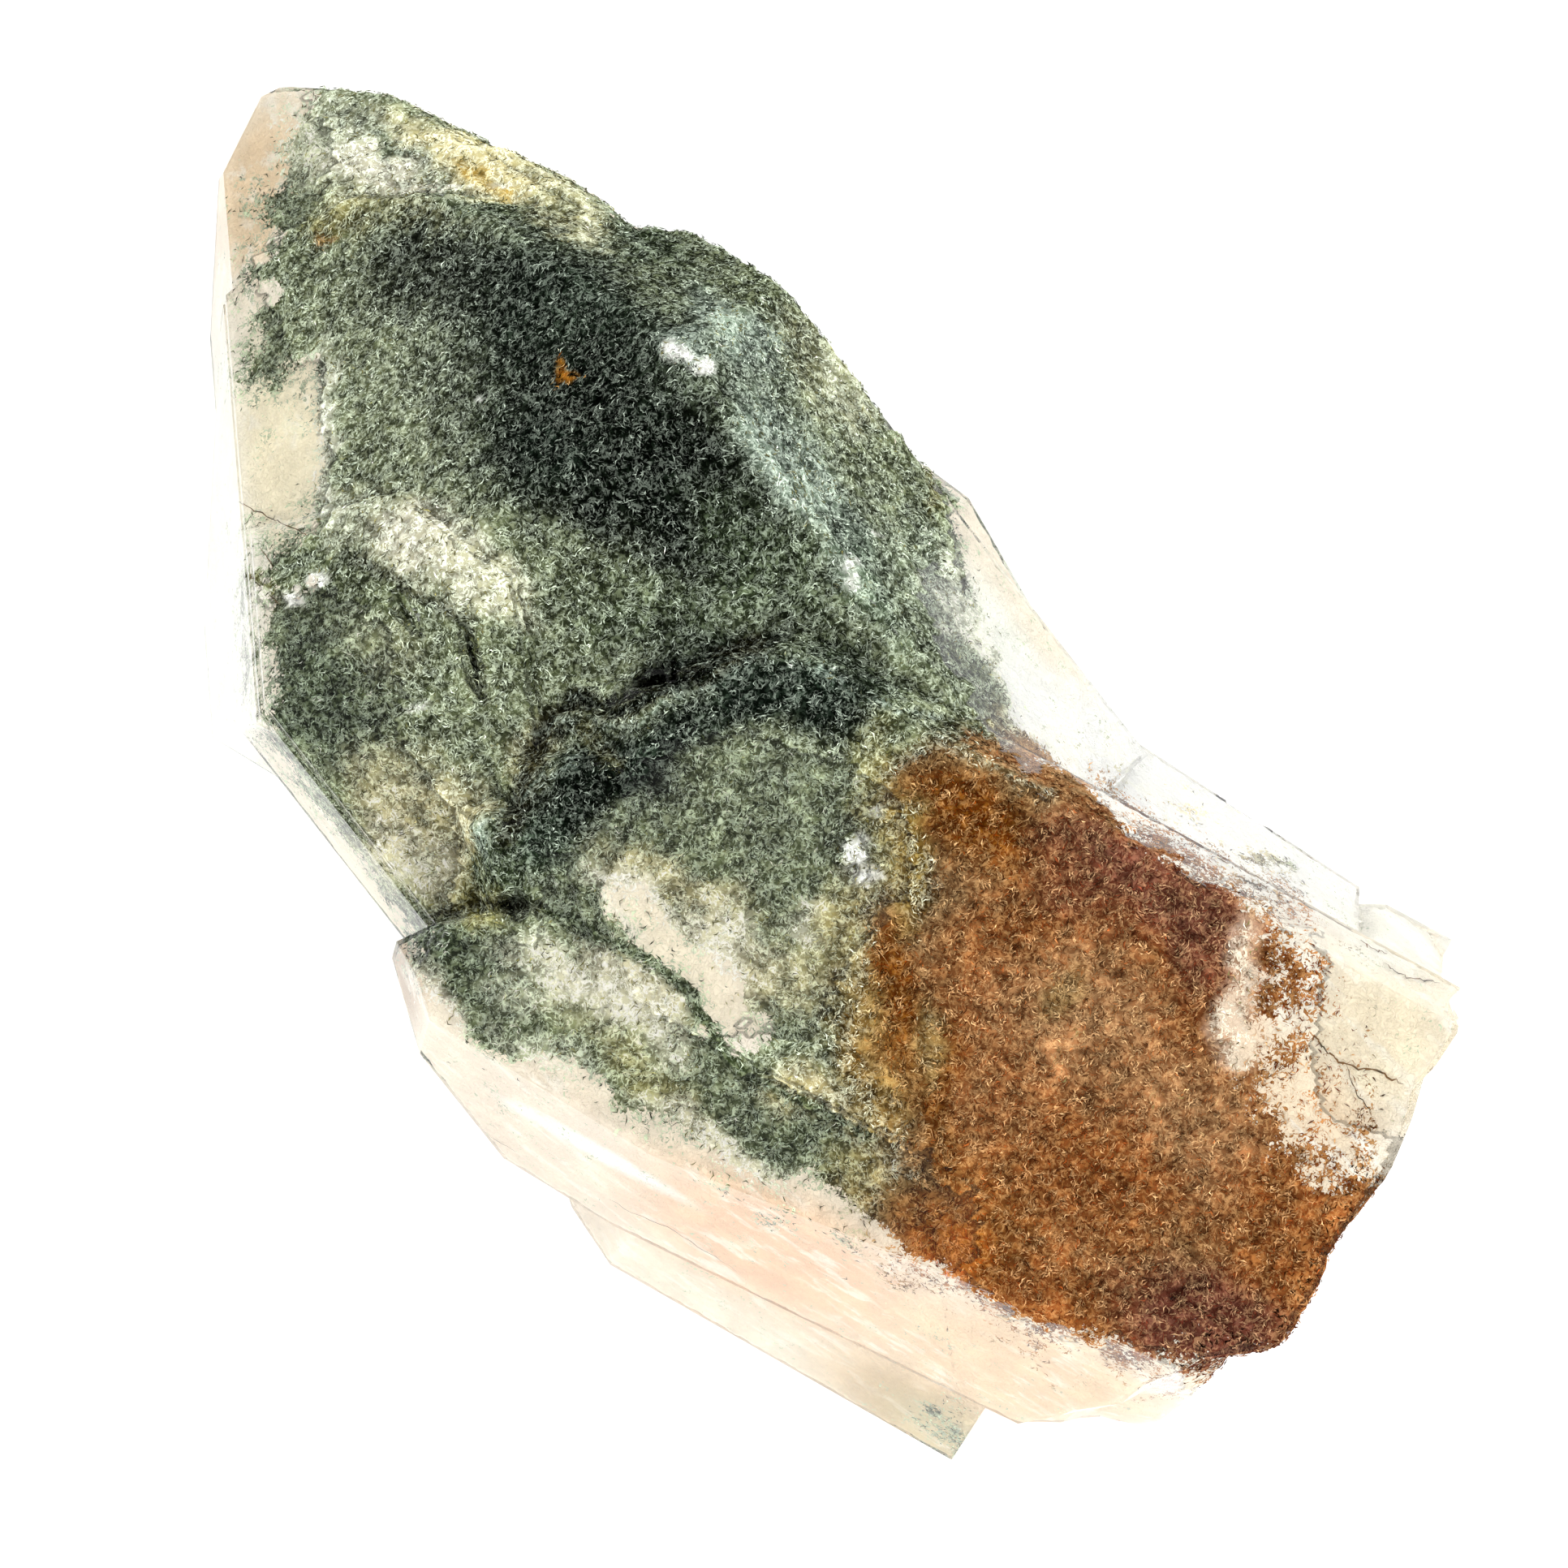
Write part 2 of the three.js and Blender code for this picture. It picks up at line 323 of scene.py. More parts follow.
# The rim of the stained part as seen from above, in mm, from the tip and then clockwise.
STAIN_RIM = (
    (-25.4, 34.8), (-24.4, 36.6), (-21.5, 36.8), (-18.4, 35.6), (-14.6, 34.0), (-11.2, 32.4), (-8.6, 30.2),
    (-7.4, 29.6), (-4.2, 29.0), (-0.9, 27.6), (2.0, 24.8), (4.0, 21.8), (6.0, 18.9), (7.0, 17.2),
    (8.2, 16.5), (8.8, 13.6), (9.5, 10.2), (10.5, 7.3), (11.4, 4.4), (12.3, 2.8), (14.7, 0.8), (17.0, -0.9),
    (19.3, -2.3), (21.2, -3.5), (23.1, -4.4), (25.2, -5.6), (25.8, -8.1), (25.4, -10.2), (24.8, -12.2),
    (25.0, -14.3), (25.6, -17.2), (27.6, -19.4), (31.0, -20.6), (31.0, -24.0), (29.0, -27.0), (26.5, -30.5),
    (21.5, -30.6), (18.1, -29.8), (13.9, -28.3), (9.8, -26.4), (7.7, -24.8), (3.9, -22.2), (0.6, -20.6),
    (-2.8, -19.3), (-6.1, -17.9), (-9.4, -16.0), (-12.8, -14.3), (-15.2, -13.9), (-16.9, -13.5),
    (-18.2, -11.4), (-18.9, -8.3), (-19.5, -6.6), (-21.9, -3.7), (-23.9, -1.4), (-25.7, 0.8), (-26.6, 2.1),
    (-26.8, 4.0), (-27.5, 6.9), (-27.7, 10.2), (-26.5, 12.2), (-24.2, 13.6), (-23.6, 15.7), (-23.9, 18.6),
    (-24.4, 20.7), (-27.8, 20.3), (-28.1, 21.9), (-27.2, 23.6), (-27.9, 25.2), (-27.8, 27.3), (-26.3, 28.2),
    (-27.8, 29.1), (-27.3, 30.6), (-25.7, 31.7), (-25.8, 33.6),
)
# Clear places inside the rim: x, y, half length, half width, turn in degrees, and how clear.
CLEAR_SHARE = 0.88
CLEAR_SPOTS = (
    (-6.6, -7.9, 3.6, 1.3, -38), (-3.0, -11.2, 3.0, 1.7, -54), (23.4, -12.4, 0.55, 1.9, 8),
    (-25.4, 9.7, 0.6, 0.4, 20), (-24.2, 10.4, 0.5, 0.4, -30), (25.4, -13.2, 0.9, 0.6, 30),
    (-26.6, 25.0, 1.1, 0.5, 10), (-27.0, 26.9, 0.9, 0.4, 0),
)
# Thin scatters of grains past the rim, in the same terms with how full each is at most.
STAIN_SPOTS = (
    (25.6, -10.1, 1.7, 2.6, 15, 0.60), (25.6, -14.2, 1.6, 1.4, 0, 0.40), (27.4, -17.6, 3.0, 4.6, -15, 0.19),
    (26.8, -24.0, 2.4, 3.2, -20, 0.50), (25.2, -6.6, 1.8, 1.4, -20, 0.38), (24.9, -4.1, 1.6, 0.35, -22, 0.60),
    (29.6, -19.0, 1.4, 3.0, 0, 0.36), (23.2, -12.2, 0.9, 1.8, 10, 0.26), (-27.2, 13.0, 0.7, 0.8, 0, 0.34),
    (-26.6, 17.6, 0.9, 0.6, 20, 0.30), (-0.6, -22.0, 1.4, 0.5, -30, 0.40), (3.6, -23.4, 1.5, 0.6, -30, 0.42),
    (6.4, -25.2, 1.6, 0.6, -28, 0.36), (11.0, -28.4, 1.0, 0.3, -25, 0.34), (-3.4, -20.2, 1.4, 0.5, -35, 0.36),
    (0.2, -21.4, 0.8, 0.3, -30, 0.46), (6.0, -24.5, 0.8, 0.35, -30, 0.46), (13.5, -28.9, 0.9, 0.3, -30, 0.42),
    (8.5, -33.2, 2.4, 0.9, -30, 0.50), (20.9, -1.5, 0.9, 0.35, -30, 0.36), (23.4, -1.2, 0.7, 0.3, -40, 0.32),
)

# Places inside the rim where clear quartz covers the coat: x, y, half length, half width, turn in
# degrees. The rest is raw crust.
GLASSY_SPOTS = (
    (-25.6, 31.4, 2.6, 3.6, -10), (-27.0, 18.0, 2.6, 7.0, 0), (-24.0, 4.2, 5.0, 6.4, 0),
    (-20.4, -2.2, 5.0, 3.6, -40), (-1.4, -3.6, 9.0, 6.8, -8), (-8.0, -8.0, 6.0, 3.0, -40),
    (-1.4, -9.6, 4.4, 3.4, -30), (-15.0, -10.8, 6.4, 3.8, -30), (-6.0, -15.6, 9.0, 3.6, -36),
    (3.6, -20.6, 8.0, 3.6, -30), (10.2, 5.6, 7.0, 1.4, -60),
)

# Glints where bare white quartz stands out, painted white and brighter than white as a painted highlight, in
# the same terms, and how bright.
PAINTED_GLINT_SHADE = 1.4
PAINTED_GLINTS = (
    (-5.6, 22.3, 0.85, 0.42, -22), (-4.2, 21.4, 0.55, 0.40, -10), (3.4, 10.8, 0.34, 0.75, 15),
    (4.7, 12.9, 0.28, 0.20, 0), (3.7, -3.4, 0.50, 0.95, -20), (4.3, -4.7, 0.75, 0.40, 20),
    (4.8, -1.5, 0.38, 0.30, 0), (-18.8, 3.8, 0.45, 0.14, 15), (-15.5, 19.8, 0.14, 0.20, 0),
    (-25.3, 9.5, 0.55, 0.32, -20), (-23.9, 10.6, 0.6, 0.28, 0),
)

SLATE = (43, 48, 39)
TEAL = (31, 44, 35)
BLACK_GREEN = (18, 27, 18)
DEEP_GREEN = (76, 88, 64)
MOSS = (100, 108, 80)
GREY_GREEN = (122, 130, 100)
SILVER_GREEN = (148, 164, 150)
PALE_GREEN = (188, 192, 164)
CREAM = (240, 234, 206)
PEACH = (246, 226, 196)
OCHRE = (228, 216, 162)
GOLD = (216, 180, 88)
OLIVE = (106, 102, 60)
DARK_OLIVE = (52, 48, 26)
STRAW = (188, 180, 140)
KHAKI = (190, 188, 150)
YELLOW_GREEN = (158, 150, 96)
RUST = (120, 67, 12)
BROWN = (138, 84, 42)
PURPLE = (116, 72, 56)
TAN = (164, 118, 78)
ORANGE = (172, 98, 22)
WHITE = (244, 244, 234)

# The tones of the coat, painted one over the other: x, y, half length, half width, turn in
# degrees, colour, strength.
TONES = (
    # main crystal: green ground, then its thick dark heart
    (-19.5, 21.0, 5.5, 8.0, 0, (136, 144, 114), 0.95), (-9.0, 20.0, 12.5, 7.5, -45, TEAL, 0.70),
    (-16.9, 26.0, 4.8, 2.8, -8, SLATE, 0.85), (-11.0, 22.6, 6.0, 5.0, -40, TEAL, 0.80),
    (-8.8, 16.4, 7.6, 4.6, -45, BLACK_GREEN, 0.95), (-4.2, 15.0, 5.4, 3.4, -50, BLACK_GREEN, 0.90),
    (-13.6, 17.0, 3.6, 2.4, 0, TEAL, 0.60), (-0.9, 11.2, 5.4, 2.6, -52, DEEP_GREEN, 0.80),
    # its upper right shoulder, silvery where the light grazes it
    (-4.4, 26.0, 6.4, 2.4, -35, MOSS, 0.85), (-7.8, 28.2, 3.6, 1.2, -25, DEEP_GREEN, 0.85),
    (-2.6, 23.4, 3.2, 1.5, -45, SILVER_GREEN, 0.75), (-5.2, 22.6, 1.6, 0.8, -20, SILVER_GREEN, 0.60),
    (1.2, 21.6, 3.4, 1.3, -56, (150, 150, 118), 0.60), (3.5, 20.0, 2.8, 0.9, -57, (172, 174, 144), 0.80),
    # its right face: a painted silvery sheen past the ridge, where the face turns to the light, green near
    # the edge, brown spots
    (1.2, 15.4, 6.8, 1.8, -57, SILVER_GREEN, 0.75), (4.6, 10.2, 4.2, 1.8, -60, (100, 114, 96), 0.80),
    (6.9, 10.8, 5.0, 1.4, -62, (124, 134, 112), 0.80), (8.6, 6.0, 4.4, 1.3, -62, (112, 120, 96), 0.80),
    (10.2, 6.8, 5.4, 1.1, -62, (208, 210, 190), 0.90), (7.3, 14.6, 1.5, 0.35, -80, OLIVE, 0.90),
    (8.8, 10.2, 0.4, 0.4, 0, DARK_OLIVE, 0.85), (3.6, 4.8, 3.4, 1.8, -40, DEEP_GREEN, 0.75),
    # its tip: pale, with green lobes, the ochre band and the khaki rim
    (-22.0, 32.4, 6.0, 2.8, -20, PALE_GREEN, 1.0), (-23.0, 34.4, 2.2, 0.6, -5, GREY_GREEN, 0.40),
    (-20.2, 32.6, 2.0, 0.55, -50, DEEP_GREEN, 0.75), (-21.0, 31.3, 2.8, 1.0, -12, CREAM, 0.75),
    (-15.2, 31.6, 5.6, 1.3, -30, OCHRE, 0.96), (-15.7, 31.5, 1.4, 0.35, -35, GOLD, 0.85),
    (-13.0, 30.9, 1.1, 0.35, -40, GOLD, 0.75), (-11.0, 29.8, 3.4, 1.2, -35, KHAKI, 0.92),
    (-11.4, 29.3, 1.3, 0.4, -40, OLIVE, 0.65), (-20.3, 29.3, 3.5, 1.2, -5, OLIVE, 0.55),
    (-23.2, 29.2, 1.6, 1.6, 0, YELLOW_GREEN, 0.60), (-23.1, 28.2, 0.9, 0.4, -20, ORANGE, 0.45),
    (-15.4, 29.7, 4.2, 0.6, -8, DEEP_GREEN, 0.75), (-25.8, 30.0, 1.8, 1.2, 20, GREY_GREEN, 0.60),
    # its left: the cream patch and its trail, painted pale as light shining through them, the frayed white
    # rim of the window
    (-18.8, 12.4, 3.7, 2.3, -32, (212, 208, 182), 0.95), (-15.6, 10.4, 3.2, 1.3, -35, (204, 202, 170), 0.80),
    (-23.3, 17.2, 0.8, 4.6, 4, (208, 207, 188), 0.80), (-20.4, 16.4, 2.0, 2.4, 0, GREY_GREEN, 0.60),
    (-11.6, 11.6, 3.0, 1.6, -15, MOSS, 0.65), (-6.4, 8.8, 5.4, 2.4, -10, DEEP_GREEN, 0.75),
    (-8.6, 10.6, 3.0, 1.4, -10, MOSS, 0.50),
    # the mound and the ground under it
    (-22.6, 6.4, 5.5, 5.2, 0, MOSS, 0.85), (-24.2, 5.0, 2.8, 3.4, 0, DEEP_GREEN, 0.70),
    (-25.2, 11.6, 1.9, 0.8, 0, DEEP_GREEN, 0.30), (-21.4, 1.6, 3.4, 1.8, -30, DEEP_GREEN, 0.70),
    (-20.6, 6.8, 2.4, 1.8, -20, (138, 142, 112), 0.85), (-12.8, 6.6, 3.6, 1.6, 0, MOSS, 0.70),
    (-15.0, 3.6, 3.2, 2.0, 0, GREY_GREEN, 0.80), (-13.2, 1.8, 1.6, 1.6, 0, STRAW, 0.55),
    # white tones under two painted glints
    (-25.2, 9.5, 0.6, 0.3, -20, WHITE, 0.80), (-24.0, 10.6, 0.7, 0.3, 0, WHITE, 0.55),
    # the straw patch and the olive corner
    (-18.2, -2.0, 4.8, 3.2, -42, STRAW, 0.96), (-19.4, -3.4, 2.4, 1.6, -45, CREAM, 0.45),
    (-15.6, -5.3, 1.5, 2.2, 10, (162, 156, 90), 0.85), (-23.8, 0.4, 1.3, 2.8, 38, GREY_GREEN, 0.70),
    # the front crystal's steps: dark woolly shelves over a brown crevice
    (-5.2, 5.6, 3.4, 0.8, 18, BLACK_GREEN, 0.95), (-12.9, 1.4, 0.8, 2.6, -8, OLIVE, 0.60),
    (-0.4, 5.1, 6.4, 2.2, -12, TEAL, 0.95), (-4.6, 3.2, 4.4, 1.4, 20, TEAL, 0.90),
    (-9.8, 0.0, 5.0, 2.3, 30, TEAL, 0.95), (-10.4, -1.0, 4.2, 1.6, 24, BLACK_GREEN, 0.70),
    (-13.6, -3.6, 2.4, 2.0, 30, (66, 82, 66), 0.80),
    (-14.8, -3.8, 1.4, 2.2, 15, DEEP_GREEN, 0.85), (-15.6, -3.0, 0.5, 1.2, 10, SILVER_GREEN, 0.60),
    (-10.9, 3.0, 1.8, 0.9, 20, SLATE, 0.80), (-12.0, -5.4, 2.0, 1.0, -25, MOSS, 0.80),
    # its green face, paling towards its clear streak
    (-2.2, -1.6, 6.0, 2.6, 8, GREY_GREEN, 0.90), (-8.2, -4.0, 3.6, 1.0, 12, GREY_GREEN, 0.75),
    (-5.2, -5.2, 5.5, 1.2, -18, STRAW, 0.85), (-7.4, -6.2, 3.8, 0.9, -28, CREAM, 0.90),
    (0.2, -4.6, 2.8, 2.6, 0, GREY_GREEN, 0.85), (-2.6, -8.6, 1.7, 3.4, 38, (226, 220, 190), 0.85),
    # the white tone at 3.4, -4.0 lies under a painted glint
    (1.6, -7.2, 1.6, 1.2, 0, CREAM, 0.60), (3.4, -4.0, 0.9, 1.2, 0, WHITE, 0.55),
    (3.4, -7.0, 1.8, 2.6, 0, (184, 178, 124), 0.85), (0.2, -10.0, 2.4, 2.0, 0, STRAW, 0.70),
    (5.4, -1.0, 2.0, 4.2, 8, YELLOW_GREEN, 0.80), (1.4, -13.0, 3.0, 1.6, -30, GREY_GREEN, 0.60),
    (1.4, -16.0, 2.8, 1.5, -30, (172, 162, 122), 0.90), (4.8, -13.4, 2.0, 5.4, 0, (158, 138, 78), 0.90),
    # the lower crystal: green shoulder, cream middle, green flank and pale margin
    (-15.6, -9.4, 4.2, 2.4, -20, (90, 100, 72), 0.95), (-17.4, -8.4, 1.8, 1.0, -10, DEEP_GREEN, 0.60),
    (-7.4, -10.4, 4.0, 1.2, -42, (222, 214, 184), 0.85), (-16.2, -12.4, 2.0, 0.9, -20, MOSS, 0.70),
    (-9.6, -11.4, 5.4, 1.9, -36, (250, 246, 214), 1.0),
    (-14.2, -10.8, 1.8, 0.9, -20, PALE_GREEN, 0.60), (-18.2, -11.4, 1.2, 2.4, 15, (212, 202, 184), 0.90),
    (-8.0, -14.6, 5.4, 1.5, -38, (142, 146, 110), 0.80), (-6.6, -15.6, 4.6, 0.7, -35, YELLOW_GREEN, 0.50),
    (-12.6, -13.8, 3.4, 0.8, -28, PALE_GREEN, 0.75), (-3.4, -18.2, 4.6, 0.8, -30, CREAM, 0.75),
    (0.2, -18.2, 3.4, 0.9, -28, MOSS, 0.80), (4.4, -20.6, 3.2, 1.6, -25, YELLOW_GREEN, 0.75),
    # the iron stain: orange at its green margin, purple under the ridge, tan at its heart
    (12.0, -26.0, 9.0, 3.4, -22, BROWN, 1.0), (22.0, -29.0, 7.0, 3.4, -15, BROWN, 1.0),
    (26.0, -10.0, 3.0, 3.8, 0, BROWN, 1.0), (26.5, -25.0, 5.0, 5.0, 0, BROWN, 1.0),
    (16.0, -14.0, 11.5, 15.0, 18, BROWN, 1.0), (20.0, -8.0, 8.0, 5.0, -30, BROWN, 1.0),
    (26.5, -17.5, 5.0, 9.0, 0, BROWN, 1.0), (9.4, -1.4, 3.8, 3.2, -30, RUST, 0.95),
    (11.8, -2.4, 3.4, 2.6, -30, RUST, 0.50), (5.9, -9.6, 1.6, 4.6, 10, RUST, 0.90),
    (7.6, -15.6, 1.8, 5.0, 6, RUST, 0.80),
    (9.4, -22.2, 3.6, 3.0, -30, (152, 90, 34), 0.65), (8.0, -23.0, 2.6, 1.2, -30, ORANGE, 0.35),
    (19.4, -5.0, 5.8, 2.4, -30, PURPLE, 0.90), (15.6, -4.8, 4.0, 2.6, -40, PURPLE, 0.55),
    (21.9, -8.4, 2.0, 3.0, 0, PURPLE, 0.75),
    (22.0, -1.4, 3.4, 1.6, -30, (222, 188, 122), 1.0), (15.0, -11.2, 5.2, 3.2, 0, TAN, 0.90),
    (14.2, -10.8, 1.8, 0.9, 20, OLIVE, 0.45), (17.0, -14.0, 4.0, 3.2, -20, TAN, 0.70),
    (11.4, -15.4, 2.2, 3.2, 10, TAN, 0.35), (21.4, -17.2, 3.4, 4.0, 0, TAN, 0.85),
    (16.0, -21.0, 5.0, 3.2, -20, BROWN, 0.60), (21.6, -27.8, 5.0, 3.0, -20, (104, 62, 48), 1.0),
    (14.8, 0.4, 4.8, 0.8, -29, TAN, 0.75), (19.0, -2.0, 3.4, 0.7, -29, TAN, 0.55),
    (24.0, -9.4, 0.9, 3.6, 0, PEACH, 0.45), (23.2, -12.6, 1.0, 2.0, 10, PEACH, 0.50),
    (6.4, -4.2, 1.2, 3.2, 10, (158, 134, 70), 0.80), (7.4, -13.4, 0.9, 2.6, -8, YELLOW_GREEN, 0.40),
    # one rust spot in the dark heart
    (-11.6, 21.3, 0.24, 0.48, 0, (190, 122, 36), 0.80),
)
# The cleft behind the mound, and the brown crevice behind the front crystal's shelves.
CLEFT = ((-21.9, 11.4), (-19.4, 10.2), (-17.5, 9.0), (-15.9, 8.2), (-16.1, 6.8), (-15.5, 4.4))
CREVICE = (
    (-14.2, -2.6), (-13.4, -0.6), (-12.9, 1.4), (-11.8, 3.6), (-10.4, 4.4), (-8.6, 3.7), (-7.3, 4.2),
    (-5.6, 5.1), (-4.2, 5.5), (-3.0, 6.6), (-1.4, 7.2),
)
# Thin lines on the coat: colour, half width in mm, strength, and the places they run through.
STROKES = (
    # the cleft: darker chlorite with a painted shade in the hollow
    (DARK_OLIVE, 0.28, 0.55, CLEFT),
    (OLIVE, 0.25, 0.70, ((-27.5, 10.8), (-26.6, 10.2), (-25.9, 9.2))),
    # the crevice and its darkest stretch: darker chlorite with a painted shade in the hollow
    (DARK_OLIVE, 0.55, 0.80, CREVICE),
    (BLACK_GREEN, 0.26, 0.85,
     ((-11.4, 4.2), (-10.4, 4.4), (-8.6, 3.7), (-7.3, 4.2), (-5.6, 5.1), (-4.2, 5.5), (-3.2, 6.4))),
    (OLIVE, 0.40, 0.55, ((-10.2, 2.7), (-9.4, 1.6), (-8.6, 1.0))),
    # the pale edge across the tip
    (CREAM, 0.13, 0.85, ((-21.8, 31.2), (-19.4, 30.5), (-17.0, 30.7), (-14.2, 30.6))),
    # the silvery crests of the shelves, painted highlights along them
    (SILVER_GREEN, 0.09, 0.60, ((-15.9, -2.3), (-14.0, -1.0), (-12.2, 0.4), (-10.4, 1.3))),
    (SILVER_GREEN, 0.08, 0.55,
     ((-12.6, 2.4), (-11.6, 3.3), (-10.2, 3.4), (-8.8, 2.9), (-7.2, 3.3), (-5.9, 4.2), (-4.9, 4.8),
      (-3.9, 5.0), (-3.0, 5.7))),
    (SILVER_GREEN, 0.10, 0.70,
     ((-2.9, 5.9), (-1.4, 6.5), (0.6, 6.4), (2.1, 5.8), (3.8, 4.9), (5.6, 4.0), (7.8, 3.3))),
    # the green line where the front and lower crystals meet, and the lower crystal's top edge
    ((88, 100, 68), 0.30, 0.92,
     ((-12.6, -6.4), (-10.8, -7.0), (-9.6, -7.8), (-6.9, -9.1), (-5.2, -10.4), (-4.1, -11.9), (-3.2, -13.8),
      (-1.6, -15.1), (1.8, -16.8), (4.4, -18.1))),
    (DARK_OLIVE, 0.30, 0.75, ((-19.0, -6.9), (-15.3, -6.1), (-13.7, -6.4), (-12.4, -6.4))),
    # the iron-brown upper edge of the stain
    (BROWN, 0.40, 0.60, ((9.4, 2.4), (13.0, 0.6), (18.0, -2.6), (22.0, -4.6))),
)

# Furrows in the coat, below 0, and ridges on it: height and half width in mm, and their places.
FURROWS = (
    (-0.5, 0.45, CREVICE[2:]),
    (-0.4, 0.40, ((-14.2, -2.6), (-13.6, -0.8), (-13.0, 1.6))),
    (-0.16, 0.30, CLEFT),
    (-0.8, 0.45, ((-14.0, -6.2), (-13.4, -6.5))),
    (0.22, 0.30,
     ((-5.8, 4.2), (-4.9, 4.8), (-3.9, 5.0), (-2.9, 5.9), (-1.4, 6.5), (0.6, 6.4), (2.1, 5.8), (3.8, 4.9),
      (5.6, 4.0), (7.8, 3.4))),
    (0.20, 0.35, ((-12.6, 2.2), (-11.6, 3.2), (-10.2, 3.3), (-8.8, 2.9), (-7.2, 3.3), (-6.0, 4.0))),
    (0.16, 0.30, ((-15.8, -2.4), (-14.0, -1.0), (-12.0, 0.4), (-10.2, 1.4))),
)

# The milky quartz between and beyond the grains, painted the same way: white, cream and peach, painted as
# bright as light shining through the clear quartz.
MILKY_BACKLIGHT = (246, 232, 206)
MILKY_BACKLIGHT_TONES = (
    (-28.6, 8.0, 2.2, 16.0, 0, (250, 246, 230), 1.0), (-26.9, 30.4, 2.4, 4.6, -15, (238, 210, 172), 1.0),
    (-25.6, 17.5, 2.6, 6.0, 0, (255, 242, 206), 1.0), (11.5, 6.0, 7.0, 1.6, -60, (244, 246, 230), 1.0),
    (20.0, -0.5, 14.0, 3.0, -30, (255, 255, 248), 1.0), (-7.2, -8.6, 5.6, 2.6, -45, (252, 238, 208), 1.0),
    (-11.0, -19.0, 8.0, 3.0, -35, (240, 222, 198), 1.0), (0.0, -24.0, 9.0, 3.0, -27, (240, 196, 158), 1.0),
    (12.0, -30.0, 9.0, 3.0, -20, (240, 206, 166), 1.0), (23.6, -11.0, 1.6, 4.0, 0, (236, 200, 166), 0.9),
    (26.5, -17.0, 4.0, 5.0, 0, (246, 216, 178), 0.9), (30.5, -13.0, 4.0, 4.0, 0, (255, 238, 204), 1.0),
    (32.0, -8.0, 3.0, 2.0, 0, (250, 246, 226), 1.0), (8.5, -33.0, 8.0, 2.0, -30, (206, 178, 138), 1.0),
    # the near-white streak across the lower crystal is a painted highlight
    (-19.8, -10.0, 1.3, 2.8, 15, (190, 166, 140), 1.0), (-9.6, -18.7, 5.6, 0.35, -29, (255, 254, 246), 1.0),
    (9.0, -33.6, 5.0, 1.6, -30, (206, 190, 148), 0.9),
)


def under_quartz(colour):
    """The linear base colour that looks like this display colour, 0 to 255, under the quartz."""
    share = np.array(colour) / 255
    shown = np.where(share < 0.04045, share / 12.92, ((share + 0.055) / 1.055) ** 2.4)
    return np.minimum(shown / (0.70 + 0.35 * shown), 0.95)


# Where soft ovals and thin lines start and end to fade, as shares of their half width.
SPOT_EDGE = (0.45, 1.35)
LINE_EDGE = (0.5, 1.4)


def spot_shares(x, y, spot):
    """How much of a soft oval spot covers each place, from 0 to 1."""
    centre_x, centre_y, half_length, half_width, turn = spot
    along, across = turned(x - centre_x, y - centre_y, -math.radians(turn))
    return 1 - smooth(np.hypot(along / half_length, across / half_width), *SPOT_EDGE)


def distance_to(x, y, run):
    """How far each place is from a line that runs through these places."""
    nearest = np.full(len(x), np.inf)
    for (x0, y0), (x1, y1) in zip(run, run[1:]):
        step_x, step_y = x1 - x0, y1 - y0
        share = np.clip(((x - x0) * step_x + (y - y0) * step_y) / (step_x ** 2 + step_y ** 2), 0, 1)
        nearest = np.minimum(nearest, np.hypot(x - x0 - share * step_x, y - y0 - share * step_y))
    return nearest


def stroke_shares(x, y, half_width, run):
    """How much of a thin line through these places covers each place, from 0 to 1."""
    return 1 - smooth(distance_to(x, y, run) / half_width, *LINE_EDGE)


def inside_rim(x, y):
    """How far each place is inside the stain's rim in mm, less than 0 outside."""
    rim = np.array((*STAIN_RIM, STAIN_RIM[0]))
    inside = np.zeros(len(x), bool)
    for (x0, y0), (x1, y1) in zip(rim, rim[1:]):
        crosses = (y0 > y) != (y1 > y)
        inside ^= crosses & (x < x0 + (y - y0) * (x1 - x0) / (y1 - y0 if y1 != y0 else 1))
    nearest = distance_to(x, y, rim)
    return np.where(inside, nearest, -nearest)


def over(colour, tone, share):
    """The colour at each place with this share of a tone painted over it."""
    share = np.reshape(share, (-1, 1))
    return colour * (1 - share) + tone * share


def paint(x, y, ground, tones):
    """The base colour at each place where these soft oval tones lie one over the other."""
    colour = np.tile(under_quartz(ground), (len(x), 1))
    for *spot, tone, strength in tones:
        colour = over(colour, under_quartz(tone), strength * spot_shares(x, y, spot))
    return colour


# The waves that fray the edges of thin lines, of tones and of the crust: how far they push and how
# long they are, in mm, and the seeds for x and y.
LINE_FRAY = ((0.14, 1.4, 17, 18), (0.06, 0.6, 19, 20))
TONE_FRAY = ((0.45, 5.0, 11, 13), (0.25, 1.6, 12, 14))
CRUST_FRAY = ((0.30, 2.4, 41, 43), (0.22, 0.9, 42, 44))


def frayed_places(points, fray):
    """Where points lie as seen from above, in mm, pushed about by these waves."""
    x, y = seen_places(points)
    for push, size, seed_x, seed_y in fray:
        x = x + push * ripple(points, size * MM, seed_x)
        y = y + push * ripple(points, size * MM, seed_y)
    return x, y


def furrow_heights(points):
    """How far the furrows and ridges raise the coat at each place, in mm."""
    x, y = frayed_places(points, LINE_FRAY)
    raised = np.zeros(len(x))
    for height, half_width, run in FURROWS:
        raised += height * stroke_shares(x, y, half_width, run)
    return raised


def held(colours, limit=0.9):
    """Colours darkened to this limit where they are brighter, with their hue kept."""
    return colours * np.minimum(1, limit / colours.max(axis=1, keepdims=True))


def fade_width(x):
    """How much wider than in the middle the stain's fading rim is at its two ends."""
    return 1 + 1.8 * smooth(x, 14, 20) + 0.7 * smooth(-x, 22, 25)


# How far the raw crust carries on past the rim of the iron stain, in mm.
PAST_RIM = 1.2


